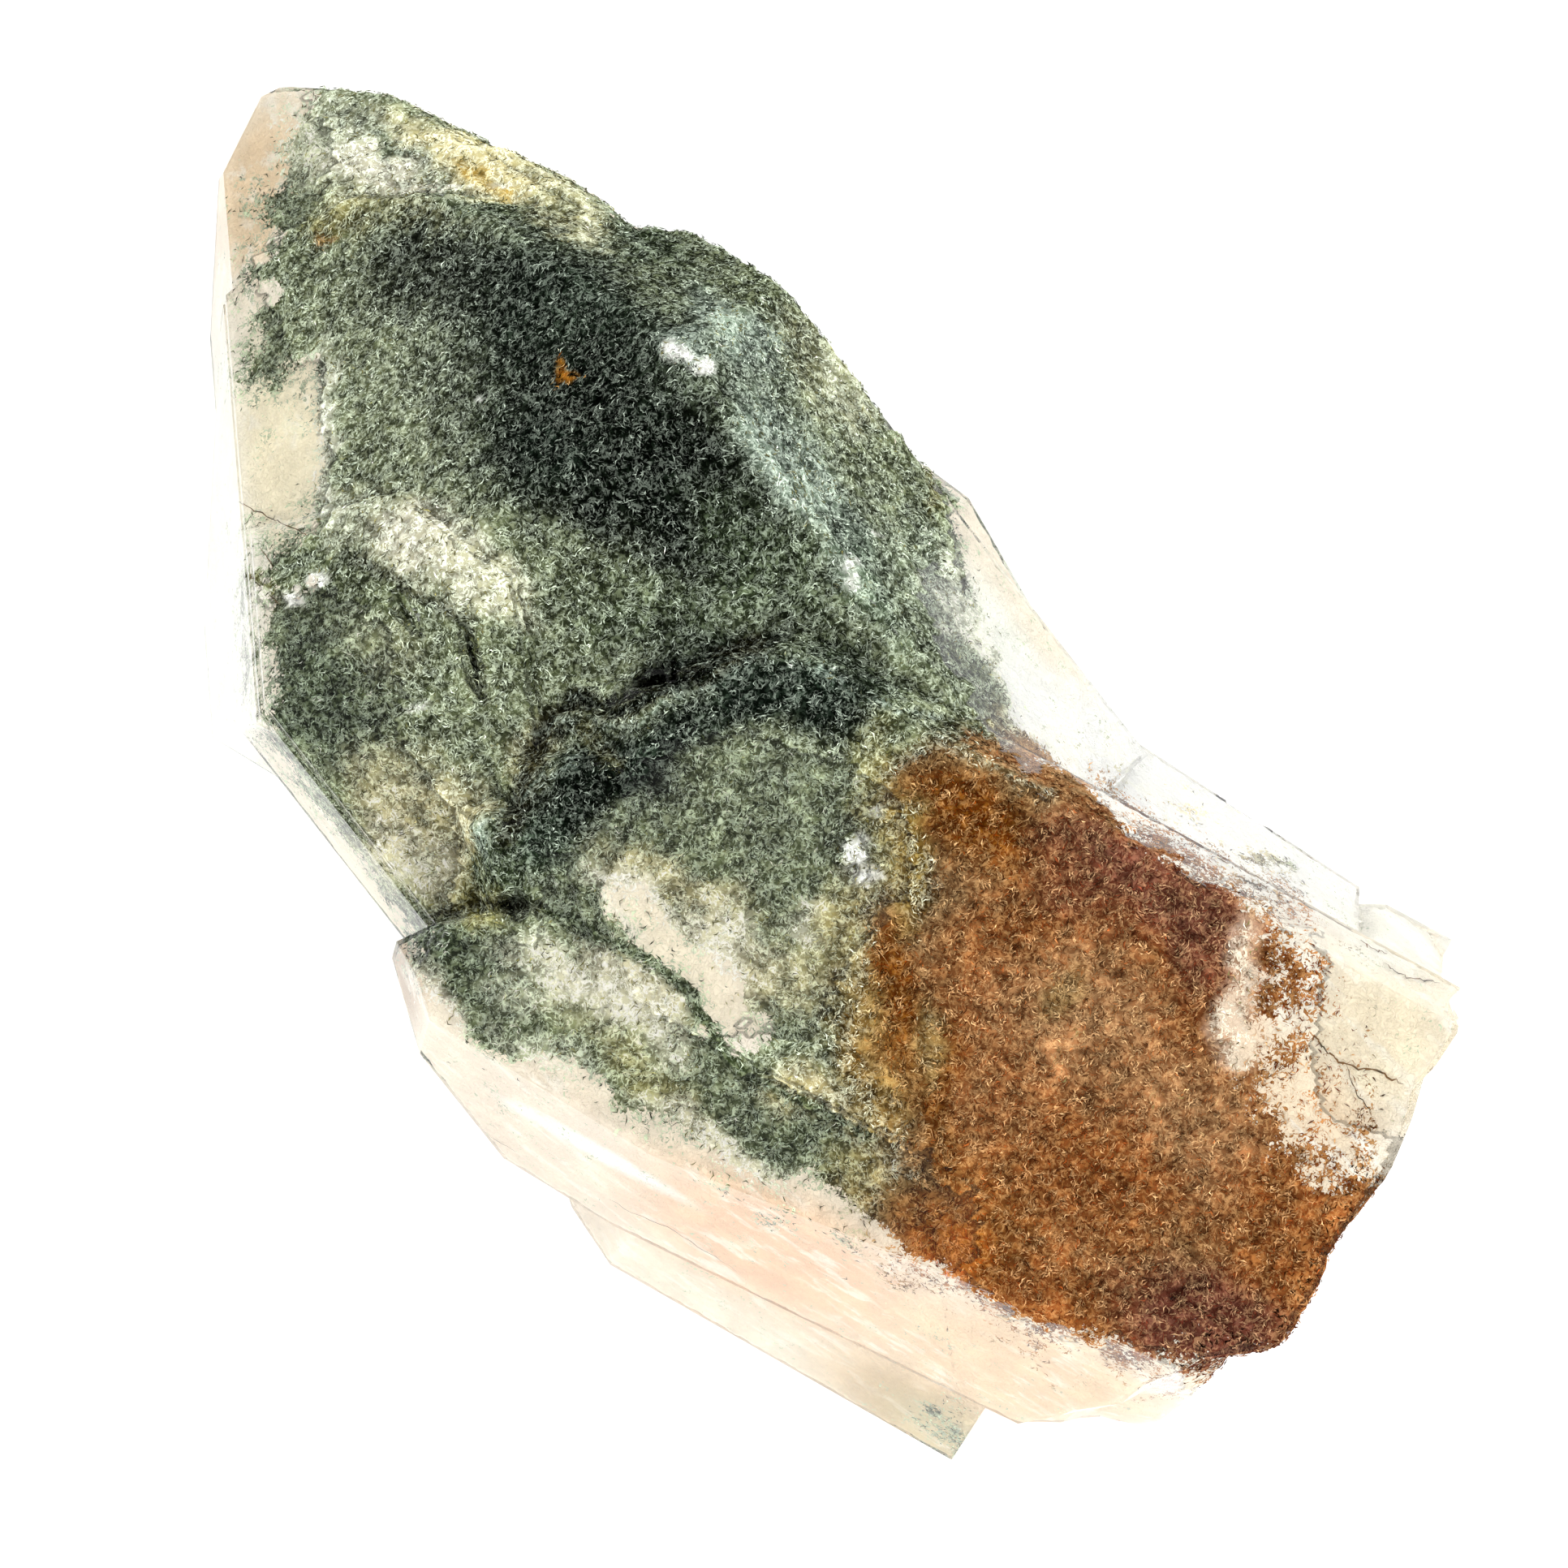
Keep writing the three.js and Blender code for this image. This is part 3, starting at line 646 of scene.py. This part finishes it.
def crust_at(points):
    """How far the coat stands out of the quartz: 0 for under the faces, 1 for a raw crust."""
    x, y = frayed_places(points, CRUST_FRAY)
    past_rim = PAST_RIM * smooth(x, 19, 23) * smooth(-y, 6, 9)
    crust = smooth(inside_rim(x, y) / fade_width(x) + past_rim, 0.0, 0.8)
    for spot in GLASSY_SPOTS:
        crust = crust * (1 - spot_shares(x, y, spot))
    # Painted glints stand out as raw crust.
    for spot in PAINTED_GLINTS:
        crust = np.maximum(crust, spot_shares(x, y, spot))
    return crust


def stain_at(points):
    """The coat's base colour, how fully it covers from 0 to 1, and the milky ground's colour, which is
    painted backlight.
    """
    milky_backlight = paint(*seen_places(points), MILKY_BACKLIGHT, MILKY_BACKLIGHT_TONES)
    near_x, near_y = frayed_places(points, LINE_FRAY)
    x, y = frayed_places(points, TONE_FRAY)
    colour = paint(x, y, GREY_GREEN, TONES)
    lines = np.zeros(len(x))
    for tone, half_width, strength, run in STROKES:
        share = strength * stroke_shares(near_x, near_y, half_width, run)
        lines = np.maximum(lines, share)
        colour = over(colour, under_quartz(tone), share)
    # Painted glints: white painted brighter than white.
    for spot in PAINTED_GLINTS:
        colour = over(colour, PAINTED_GLINT_SHADE * under_quartz(WHITE), spot_shares(near_x, near_y, spot))
    colour = colour * np.exp(BLOTCH_SHADE * rippled(points, BLOTCH_WAVES))[:, None]
    inside = inside_rim(x, y)
    cover = smooth(inside / fade_width(x), -0.7, 1.3)
    for spot in CLEAR_SPOTS:
        cover = cover * (1 - CLEAR_SHARE * spot_shares(x, y, spot))
    cover = np.maximum(cover, lines * (inside > 0))
    for *spot, strength in STAIN_SPOTS:
        cover = np.maximum(cover, strength * spot_shares(x, y, spot))
    return held(colour, 1.2), cover, held(milky_backlight, 0.95)


def corner_places(piece, value="co"):
    """The places of a piece's vertices, one row each, or with value "normal" their normals."""
    rows = np.empty(len(piece.data.vertices) * 3)
    piece.data.vertices.foreach_get(value, rows)
    return rows.reshape(-1, 3)


def in_box(points):
    """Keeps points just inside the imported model's box."""
    return np.clip(points, np.array(cad_box[0]) + BOX_GAP, np.array(cad_box[1]) - BOX_GAP)


pick(quartz)
quartz_tree = BVHTree.FromObject(quartz, bpy.context.evaluated_depsgraph_get())


def stand_off(points, heights):
    """Moves points near the quartz's faces to these heights over them, less than 0 for under."""
    moved = points.copy()
    for i, point in enumerate(points):
        near, normal, _, distance = quartz_tree.find_nearest(point)
        if distance < FOLLOW_REACH:
            moved[i] = near + normal * heights[i]
    return in_box(moved)


def tuck_under(points, depth):
    """Moves each point that is less than depth under the quartz's faces in to that depth."""
    tucked = points.copy()
    for i, point in enumerate(points):
        near, normal, _, distance = quartz_tree.find_nearest(point)
        under = sum((near[axis] - point[axis]) * normal[axis] for axis in range(3))
        if under < 0 or distance < depth:
            tucked[i] = near - normal * depth
    return tucked


def rise(piece, passes=10):
    """How far each vertex stands out of its smoothed neighbourhood in mm: ridges more than 0."""
    places = corner_places(piece)
    ends = np.empty(len(piece.data.edges) * 2, int)
    piece.data.edges.foreach_get("vertices", ends)
    starts, ends = ends.reshape(-1, 2).T
    both = np.concatenate([starts, ends]), np.concatenate([ends, starts])
    count = np.bincount(both[0], minlength=len(places))[:, None]
    smoothed = places
    for _ in range(passes):
        around = [np.bincount(both[0], smoothed[both[1], axis], len(places)) for axis in range(3)]
        smoothed = 0.5 * smoothed + 0.5 * np.stack(around, 1) / count
    return ((places - smoothed) * corner_places(piece, "normal")).sum(1) / MM


def paint_stain(piece, crust):
    """Stores the coat's colour with painted light on ridges and shade in hollows, its cover, the milky ground
    with its painted backlight, and the crust, for the material to read.
    """
    colour, cover, milky_backlight = stain_at(corner_places(piece))
    # Ridges get a painted highlight and hollows a painted shade.
    colour = held(colour * np.exp(PAINTED_RIM_SHADE * np.tanh(rise(piece) / RIM_RISE))[:, None])
    for name, shade, share in (("stain", colour, cover), ("milky_backlight", milky_backlight, crust)):
        layer = piece.data.attributes.new(name, "FLOAT_COLOR", "POINT")
        layer.data.foreach_set("color", np.column_stack([shade, share]).astype(np.float32).ravel())


def place_from_seen(x, y, height):
    """The place in metres of a spot that is seen at x and y, with all three given in mm."""
    x, y = turned(x, y, -LAYOUT_TURN)
    return Vector((x + LAYOUT_SHIFT[0], y + LAYOUT_SHIFT[1], height)) * MM


def cut_away(piece, place, heading):
    """Cuts off a solid beyond an upright plane, given in mm and degrees as seen from above."""
    facing = math.radians(heading) - LAYOUT_TURN
    edit(
        piece, bpy.ops.mesh.bisect, plane_co=place_from_seen(*place, 0),
        plane_no=(math.cos(facing), math.sin(facing), 0), use_fill=True, clear_outer=True, threshold=WELD,
    )


# The plane beyond which the quartz is clear right through, and the plane where the two parts of the
# coat meet: a place on each as seen from above in mm, and the heading that it faces in degrees. The
# parts overlap by this many mm on each side of it.
CLEAR_PLANE = ((20.5, 6.6), 38)
MEETING_PLANE = ((4.0, -5.0), 10)
MEETING_OVERLAP = 0.6


def make_coat(name, end_place, end_heading):
    """One part of the coat: a woolly body, under the faces or standing out of them."""
    piece = copy_of_solid(name)
    cut_away(piece, *CLEAR_PLANE)
    cut_away(piece, end_place, end_heading)
    finish_with(piece, "REMESH", mode="VOXEL", voxel_size=PHANTOM_GRID)
    finish_with(piece, "DISPLACE", strength=-PHANTOM_DEPTH, mid_level=0.0)
    places = corner_places(piece)
    facing_up = smooth(corner_places(piece, "normal")[:, 2], 0.1, 0.4)
    crust = crust_at(places)
    raw = crust > RAW_FROM
    height = rippled(places, WOOL_WAVES, 24) * WOOL_RELIEF + furrow_heights(places) * MM * facing_up
    height += crust * (PHANTOM_DEPTH + CRUST_HEIGHT) - PHANTOM_DEPTH
    height = np.where(raw, np.maximum(height, LEAST_HEIGHT), np.minimum(height, -LEAST_DEPTH))
    places = stand_off(places, height)
    piece.data.vertices.foreach_set("co", places.ravel())
    piece.data.update()
    paint_stain(piece, raw)
    piece.data.polygons.foreach_set("use_smooth", [True] * len(piece.data.polygons))
    piece.data.materials.append(coat)
    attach(piece, "root")
    return piece


# The sizes of the coat's pattern: curled worms and finer hairs, the gaps between them and clumps.
WORM_SIZE = 0.40 * MM
HAIR_SIZE = 0.27 * MM
GAP_SIZE = 0.25 * MM
CLUMP_SIZE = 0.60 * MM

coat, shader, place = new_material("chlorite_coat", GRAIN_IOR, 0.7)
stain = place.node("ShaderNodeAttribute", {"attribute_name": "stain"}, {})
milky_backlight = place.node("ShaderNodeAttribute", {"attribute_name": "milky_backlight"}, {})
cover = stain.sibling("Alpha")
raw = milky_backlight.sibling("Alpha")
lightness = stain.node("ShaderNodeRGBToBW", {}, {"Color": stain})
# Lit grains with a painted sheen: curled worms and hairs, broken up into short runs.
worms = abs(place.noise(WORM_SIZE, 1.5, distortion=0.9) - 0.5).ramp(0.015, 0.075, 1.0, 0.0)
worms = worms * place.moved((3, 5, 7)).noise(0.55 * MM, 1.0).ramp(0.44, 0.56)
hairs = abs(place.moved((5, 1, 6)).noise(HAIR_SIZE, 1.0, distortion=0.7) - 0.5).ramp(0.01, 0.07, 1.0, 0.0)
hairs = hairs * place.moved((2, 6, 3)).noise(0.40 * MM, 1.0).ramp(0.42, 0.58)
# The darker ground between them, the coat's own darker colour with a painted shade between the grains, which
# keeps its hue where it is rusty.
gaps = place.moved((9, 2, 4)).noise(GAP_SIZE, 2.0).ramp(0.42, 0.56)
clumps = place.moved((6, 1, 8)).noise(CLUMP_SIZE, 3.0, 0.6).ramp(0.30, 0.70, 0.75, 1.25)
red = stain.node("ShaderNodeSeparateColor", {}, {"Color": stain})
green = red.sibling("Green")
rusty = (red - 1.4 * green).ramp(0.0, 0.05)
deep = stain.node("ShaderNodeVectorMath", {"operation": "MULTIPLY"}, {0: stain, 1: stain})
deep = (rusty * 0.3 + 0.5).mix(deep.times(lightness.math("DIVIDE", 1.0, lightness + 0.004)), stain)
deep = deep.times(lightness.ramp(0.02, 0.75, 0.08, 0.76) + rusty * 0.32)
ground = gaps.mix(stain.times(clumps * lightness.ramp(0.01, 0.15, 0.45, 0.95)), deep)
# The painted sheen that lit grains add: silver on green, tan on rust.
painted_sheen = place.node("ShaderNodeRGB", {}, {})
painted_sheen.socket.default_value = (0.88, 1.0, 0.84, 1)
bright = stain.times(1.25).plus(painted_sheen.times(lightness * 0.62 + 0.20))
bright = rusty.mix(bright, stain.times(1.1).plus((0.20, 0.135, 0.060)))
strands = worms.math("MAXIMUM", worms * 0.85, hairs * 0.7) * lightness.ramp(0.0, 0.08, 0.85, 1.0)
tone = strands.mix(ground, bright)
# The milky quartz, painted as light shining through it, and how the coat frays into it.
fine = place.moved((1, 8, 3)).noise(0.19 * MM, 2.0)
patches = place.moved((7, 3, 1)).noise(1.3 * MM, 2.0)
fray = fine * 0.5 + strands * 0.30 + patches * 0.5 - 0.06
clouds = place.moved((4, 4, 1)).noise(2.5 * MM, 3.0).ramp(0.4, 0.7, 0.92, 1.04)
along = place.moved(rotation=(0, 0, math.radians(-16)), scale=(0.12, 1, 1))
veils = along.noise(0.8 * MM, 3.0, 0.6, 0.3).ramp(0.48, 0.66) * place.noise(4.0 * MM, 1.0).ramp(0.40, 0.60)
bare = (veils * 0.6).mix(milky_backlight.times(clouds), (0.95, 0.93, 0.84, 1)).clipped()
tone = (cover * 1.5 + (fray - 0.5) * 2.6).ramp(0.62, 0.72).mix(bare, tone)
tone = tone.times(raw.ramp(0.0, 0.3, 1.0, OPEN_SHADE)).clipped()
plug(tone, shader, "Base Color")
bump = place.node("ShaderNodeBump", {}, {"Strength": 0.6, "Distance": 0.1 * MM, "Height": strands - gaps})
plug(bump, shader, "Normal")

end_place, end_heading = MEETING_PLANE
reach = turned(MEETING_OVERLAP, 0, math.radians(end_heading))
ahead = (end_place[0] + reach[0], end_place[1] + reach[1])
behind = (end_place[0] - reach[0], end_place[1] - reach[1])
green_coat = make_coat("chlorite_phantom", ahead, end_heading)
rusty_coat = make_coat("iron_phantom", behind, end_heading + 180)

# The grains. Chlorite grew as tiny curved worm-like stacks, and the iron stain coats the same
# grains. They lie in a thin tangle over the phantom, and single ones stray past its rim.
GRAINS_PER_PIECE = 32000
GRAIN_PIECES = 5
# The places tried for each grain that is wanted, and the share of them on faces that look up.
TRIES = 4.3
TOP_SHARE = 0.70
GRAIN_LENGTH = (0.22 * MM, 0.62 * MM)
GRAIN_RADIUS = (0.024 * MM, 0.048 * MM)
# How far a grain bends, as a share of its length, and how far it strays from its chain's heading.
GRAIN_BEND = 0.38
GRAIN_STRAY = 0.25
# How high grains lie over the coat, and how deep their middles and ends lie under clear faces.
GRAIN_LIFT = (-0.03, 0.13)
MIDDLE_DEPTH = 0.09 * MM
END_DEPTH = 0.03 * MM
# How far off a grain may take its colour from.
COLOUR_SPREAD = 0.22 * MM
# One grain in this many is a fibre, this much longer and thinner.
FIBRE_EVERY = 60
FIBRE_LENGTH = 2.6
FIBRE_RADIUS = 0.6
# The size in mm of each net of chains, and its seed.
CHAINS = ((0.85, 61), (0.70, 62))
# How bright unlit grains are beside the coat, painted darker as grains in shade, at these natural logarithms
# of its brightness.
SHADE_LEVELS = (-4.0, -1.6, -0.5)
UNLIT_PAINTED_SHADES = (0.06, 0.18, 0.44)
# How much red, green and blue count for lightness, and the painted glint that lit grains add to green and to
# rust.
LIGHTNESS = (0.25, 0.6, 0.15)
SILVER_PAINTED_GLINT = (0.88, 1.0, 0.84)
TAN_PAINTED_GLINT = (0.26, 0.18, 0.09)


def surface_spots(piece, count, draw):
    """Random places all over a piece's faces, with their normals and their rise."""
    mesh = piece.data
    mesh.calc_loop_triangles()
    corners = np.empty(len(mesh.loop_triangles) * 3, int)
    mesh.loop_triangles.foreach_get("vertices", corners)
    a, b, c = corner_places(piece)[corners.reshape(-1, 3)].transpose(1, 0, 2)
    cross = np.cross(b - a, c - a)
    area = np.linalg.norm(cross, axis=1)
    normal = cross / np.maximum(area, 1e-12)[:, None]
    weight = area * np.where(normal[:, 2] > 0.15, TOP_SHARE, 1 - TOP_SHARE)
    chosen = draw.choice(len(area), count, p=weight / weight.sum())
    relief = rise(piece)[corners.reshape(-1, 3)[chosen, 0]]
    u, v = draw.random((2, count, 1))
    flip = u + v > 1
    u, v = np.where(flip, 1 - u, u), np.where(flip, 1 - v, v)
    spots = a[chosen] + u * (b - a)[chosen] + v * (c - a)[chosen]
    return spots, normal[chosen], relief


def grain_mesh(name, middle, normal, heading, colour, open_air, draw):
    """One mesh of many bent, three-sided grains that taper to a point at both ends."""
    count = len(middle)
    loose = heading + draw.normal(size=(count, 3)) * GRAIN_STRAY
    along = loose - 0.85 * (loose * normal).sum(1, keepdims=True) * normal
    along /= np.linalg.norm(along, axis=1, keepdims=True)
    side = np.cross(normal, along)
    side /= np.linalg.norm(side, axis=1, keepdims=True)
    lift = np.cross(along, side)
    length = draw.uniform(*GRAIN_LENGTH, (count, 1)) * draw.uniform(0.6, 1.0, (count, 1))
    length[: count // FIBRE_EVERY] *= FIBRE_LENGTH
    radius = draw.uniform(*GRAIN_RADIUS, (count, 1))
    radius[: count // FIBRE_EVERY] *= FIBRE_RADIUS
    bend = draw.uniform(-GRAIN_BEND, GRAIN_BEND, (count, 1)) * length
    start = middle - along * length * 0.5
    corners = [start]
    for angle in (0.5, 2.6, 4.7):
        corners.append(middle + side * bend + radius * (side * math.cos(angle) + lift * math.sin(angle)))
    corners.append(middle + along * length * 0.5)
    places = np.stack(corners, 1)
    places[~open_air] = tuck_under(places[~open_air].reshape(-1, 3), END_DEPTH).reshape(-1, 5, 3)
    places = in_box(places)
    faces = np.array([(0, 2, 1), (0, 3, 2), (0, 1, 3), (4, 1, 2), (4, 2, 3), (4, 3, 1)])
    grain = (np.arange(count) * 5)[:, None, None] + faces[None]
    mesh = bpy.data.meshes.new(name)
    mesh.vertices.add(count * 5)
    mesh.vertices.foreach_set("co", places.ravel())
    mesh.loops.add(grain.size)
    mesh.loops.foreach_set("vertex_index", grain.ravel())
    mesh.polygons.add(grain.size // 3)
    mesh.polygons.foreach_set("loop_start", np.arange(0, grain.size, 3))
    mesh.polygons.foreach_set("use_smooth", np.ones(grain.size // 3, bool))
    mesh.update(calc_edges=True)
    layer = mesh.attributes.new("stain", "FLOAT_COLOR", "POINT")
    shades = np.column_stack([colour, np.ones(count)]).repeat(5, 0)
    layer.data.foreach_set("color", shades.astype(np.float32).ravel())
    return new_object(name, mesh)


grain_paint, shader, place = new_material("grains", GRAIN_IOR, 0.55)
shade = place.node("ShaderNodeAttribute", {"attribute_name": "stain"}, {})
clumps = place.moved((6, 1, 8)).noise(0.70 * MM, 3.0, 0.6).ramp(0.30, 0.70, 0.70, 1.35)
plug(shade.times(clumps).clipped(), shader, "Base Color")

draw = np.random.default_rng(7)
wanted = GRAINS_PER_PIECE * GRAIN_PIECES
coats = (green_coat, rusty_coat)
areas = [sum(face.area for face in part.data.polygons) for part in coats]
tries = [int(wanted * TRIES * area / sum(areas)) for area in areas]
found = [surface_spots(part, count, draw) for part, count in zip(coats, tries)]
spots, normals, relief = (np.concatenate(both) for both in zip(*found))
colours, covers, _ = stain_at(spots + draw.normal(0, COLOUR_SPREAD, spots.shape))
# The grains get the same painted highlight on ridges and painted shade in hollows.
colours = held(colours * np.exp(PAINTED_RIM_SHADE * np.tanh(relief / RIM_RISE))[:, None])
bright = colours @ np.array(LIGHTNESS)
# The grains grew in curved chains, and those on a chain lie along it and are mostly painted lit.
width = 0.24 + 0.20 * smooth(bright, 0.02, 0.15)
chains = [1 - smooth(abs(ripple(spots, size * MM, seed)) / width, 0.2, 1.0) for size, seed in CHAINS]
chain = np.maximum(*chains) * smooth(ripple(spots, 1.0 * MM, 31, 24), -0.5, 0.3)
chance = covers ** 1.3 * (0.22 + 0.78 * smooth(bright, 0.60, 0.20)) * (0.22 + 0.78 * chain)
kept = np.flatnonzero(draw.random(len(spots)) < chance)
kept = draw.permutation(kept)[:wanted]
spots, normals, colours, bright, chain = (part[kept] for part in (spots, normals, colours, bright, chain))
slopes = [ripple_slope(spots, size * MM, seed) for size, seed in CHAINS]
first = (chains[0][kept] > chains[1][kept])[:, None]
headings = np.cross(normals, np.where(first, *slopes))
headings /= np.maximum(np.linalg.norm(headings, axis=1, keepdims=True), 1e-9)
open_air = crust_at(spots) > RAW_FROM
lifted = spots + normals * draw.uniform(*GRAIN_LIFT, (len(kept), 1)) * MM
lifted[~open_air] = tuck_under(lifted[~open_air], MIDDLE_DEPTH)
# Grains on a chain mostly get a painted glint.
painted_lit = (draw.random(len(kept)) < 0.04 + 0.90 * chain)[:, None]
glint = draw.normal(size=(len(kept), 1))
bright = bright[:, None]
rusty = smooth(colours[:, :1] - 1.4 * colours[:, 1:2], 0.0, 0.05)
painted_sheen = np.array(SILVER_PAINTED_GLINT) * (0.26 + 0.70 * bright) * (1 - rusty)
painted_sheen = painted_sheen + np.array(TAN_PAINTED_GLINT) * rusty
deep = colours * (0.5 + 0.5 * colours / (bright + 0.004))
# The other grains are painted darker, as grains in shade, with a deeper hue.
dark = deep * (np.interp(np.log(bright), SHADE_LEVELS, UNLIT_PAINTED_SHADES) + 0.16 * rusty) * np.exp(0.40 * glint)
shown = np.where(painted_lit, colours * (1.2 - 0.15 * rusty) + painted_sheen * np.exp(0.45 * glint), dark)
speck = (draw.random((len(kept), 1)) < 0.5) * smooth(bright, 0.25, 0.5)
shown = over(shown, under_quartz(OLIVE) * np.exp(0.5 * glint), speck)
shades = held(shown * np.where(open_air, OPEN_SHADE, 1.0)[:, None], 0.85)
for i in range(GRAIN_PIECES):
    part = slice(i * GRAINS_PER_PIECE, (i + 1) * GRAINS_PER_PIECE)
    grains = grain_mesh(
        f"grains_{i + 1}", lifted[part], normals[part], headings[part], shades[part], open_air[part], draw
    )
    grains.data.materials.append(grain_paint)
    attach(grains, "root")

# The cracks. Thin healed cracks run just under the clear faces, stained brown where iron crept in.
# A crack ends where its face does.
CRACK_DEPTH = 0.04 * MM
FACE_JUMP = 1.6 * MM
# The steps in which each run of a crack is drawn, and how far it strays there in mm.
CRACK_STEPS = 8
CRACK_STRAY = 0.05
# Half width in mm, and the places each runs through as seen from above.
CRACKS = (
    (0.030, ((-28.0, 14.5), (-26.4, 13.6), (-25.2, 13.2), (-24.0, 12.4))),
    (0.030, ((-27.5, 10.8), (-26.8, 10.0), (-25.9, 9.2))),
    (0.025, ((-26.9, 12.2), (-26.2, 11.0), (-26.3, 9.8))),
    (0.040, ((29.6, -8.0), (30.4, -8.5), (31.0, -8.7))), (0.050, ((30.8, -9.2), (32.0, -9.9), (33.7, -10.2))),
    (0.045, ((26.8, -12.2), (27.6, -13.4), (28.5, -14.3), (30.2, -14.7), (31.8, -15.4))),
    (0.025, ((28.9, -14.4), (29.4, -16.0), (30.4, -17.2))),
    (0.110, ((22.3, -3.8), (23.2, -4.1), (24.4, -4.5))), (0.090, ((23.3, -4.8), (24.2, -5.1), (24.9, -5.3))),
    (0.025, ((-19.9, -15.2), (-17.0, -16.9), (-13.8, -18.9))),
    (0.022, ((-9.0, -21.4), (-5.6, -23.0), (-2.4, -25.1))),
)

crack_draw = np.random.default_rng(9)
corners, faces = [], []
for half_width, run in CRACKS:
    first = len(corners)
    nodes = []
    for (x0, y0), (x1, y1) in zip(run, run[1:]):
        for share in np.arange(0, 1, 1 / CRACK_STEPS):
            jitter = crack_draw.normal(0, CRACK_STRAY, 2)
            nodes.append((x0 + (x1 - x0) * share + jitter[0], y0 + (y1 - y0) * share + jitter[1]))
    nodes.append(run[-1])
    eye = place_from_seen(0, 0, EYE_HEIGHT)
    hits = [quartz_tree.ray_cast(eye, place_from_seen(x, y, FRONT_HEIGHT) - eye)[:2] for x, y in nodes]
    hits = [hit for hit in hits if hit[0] is not None]
    jumps = [i for i in range(1, len(hits)) if (hits[i][0] - hits[i - 1][0]).length > FACE_JUMP]
    hits = hits[: jumps[0]] if jumps else hits
    for i, (spot, normal) in enumerate(hits):
        ahead = hits[min(i + 1, len(hits) - 1)][0] - hits[max(i - 1, 0)][0]
        side = ahead.cross(normal).normalized()
        taper = min(1, 0.25 + 0.3 * min(i, len(hits) - 1 - i))
        width = half_width * MM * crack_draw.uniform(0.6, 1.3) * taper
        middle = spot - normal * CRACK_DEPTH
        corners += [middle - side * width, middle + side * width, middle - normal * width * 0.6]
    faces.append((first, first + 1, first + 2))
    for i in range(first, len(corners) - 3, 3):
        faces += [(i + a, i + b, i + b + 3, i + a + 3) for a, b in ((0, 1), (1, 2), (2, 0))]
    faces.append((len(corners) - 3, len(corners) - 2, len(corners) - 1))
mesh = bpy.data.meshes.new("cracks")
mesh.from_pydata(corners, [], faces)
cracks = new_object("cracks", mesh)
edit(cracks, bpy.ops.mesh.normals_make_consistent, inside=False)
crack_paint, shader, place = new_material("crack_fill", GRAIN_IOR, 0.6)
rusting = place.noise(0.8 * MM, 2.0).ramp(0.35, 0.65)
plug(rusting.mix((0.09, 0.075, 0.05, 1), (0.22, 0.12, 0.05, 1)), shader, "Base Color")
cracks.data.materials.append(crack_paint)
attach(cracks, "root")

# The stage: a plain white floor under a ring of soft light that is open overhead, and a dark card
# beyond the crystal's tip that keeps glare off its long slope.
FLOOR_SIZE = 4.0
FLOOR_SHADE = 0.90
RING_LIGHT = 3.0
SKY_LIGHT = 0.18
bpy.ops.mesh.primitive_plane_add(size=FLOOR_SIZE, location=(0, 0, 0))
floor = bpy.context.active_object
floor.name = "floor"
floor_paint, shader, place = new_material("floor", roughness=0.9)
shader.inputs["Base Color"].default_value = (FLOOR_SHADE, FLOOR_SHADE, FLOOR_SHADE, 1)
floor.data.materials.append(floor_paint)

world = bpy.data.worlds.new("sky")
bpy.context.scene.world = world
world.use_nodes = True
background = world.node_tree.nodes["Background"]
direction = Socket(world.node_tree, world.node_tree.nodes.new("ShaderNodeTexCoord").outputs["Generated"])
along = direction.node("ShaderNodeSeparateXYZ", {}, {"Vector": direction})
height = along.sibling("Z")
background.inputs["Color"].default_value = (1, 1, 1, 1)
dark_card = along.ramp(0.45, 0.75) * height.ramp(0.24, 0.36, 1.0, 0.0)
ring = height.ramp(0.80, 0.88, 1.0, 0.0) * (1.0 - dark_card)
plug(ring * RING_LIGHT + SKY_LIGHT, background, "Strength")

# The camera looks straight down, as the photograph does on the cluster's front.
VIEW_SPOT = (LAYOUT_SHIFT[0] * MM, LAYOUT_SHIFT[1] * MM)
SENSOR_WIDTH = 36
FRAME_WIDTH = 80.5 * MM
FRAME_DISTANCE = (EYE_HEIGHT - FRONT_HEIGHT) * MM
camera_data = bpy.data.cameras.new("camera")
camera_data.sensor_width = SENSOR_WIDTH
camera_data.lens = SENSOR_WIDTH * FRAME_DISTANCE / FRAME_WIDTH
camera = new_object("camera", camera_data)
camera.location = (*VIEW_SPOT, EYE_HEIGHT * MM)
camera.rotation_euler = (0, 0, -LAYOUT_TURN)
bpy.context.scene.camera = camera
bpy.context.scene.view_settings.view_transform = "Standard"
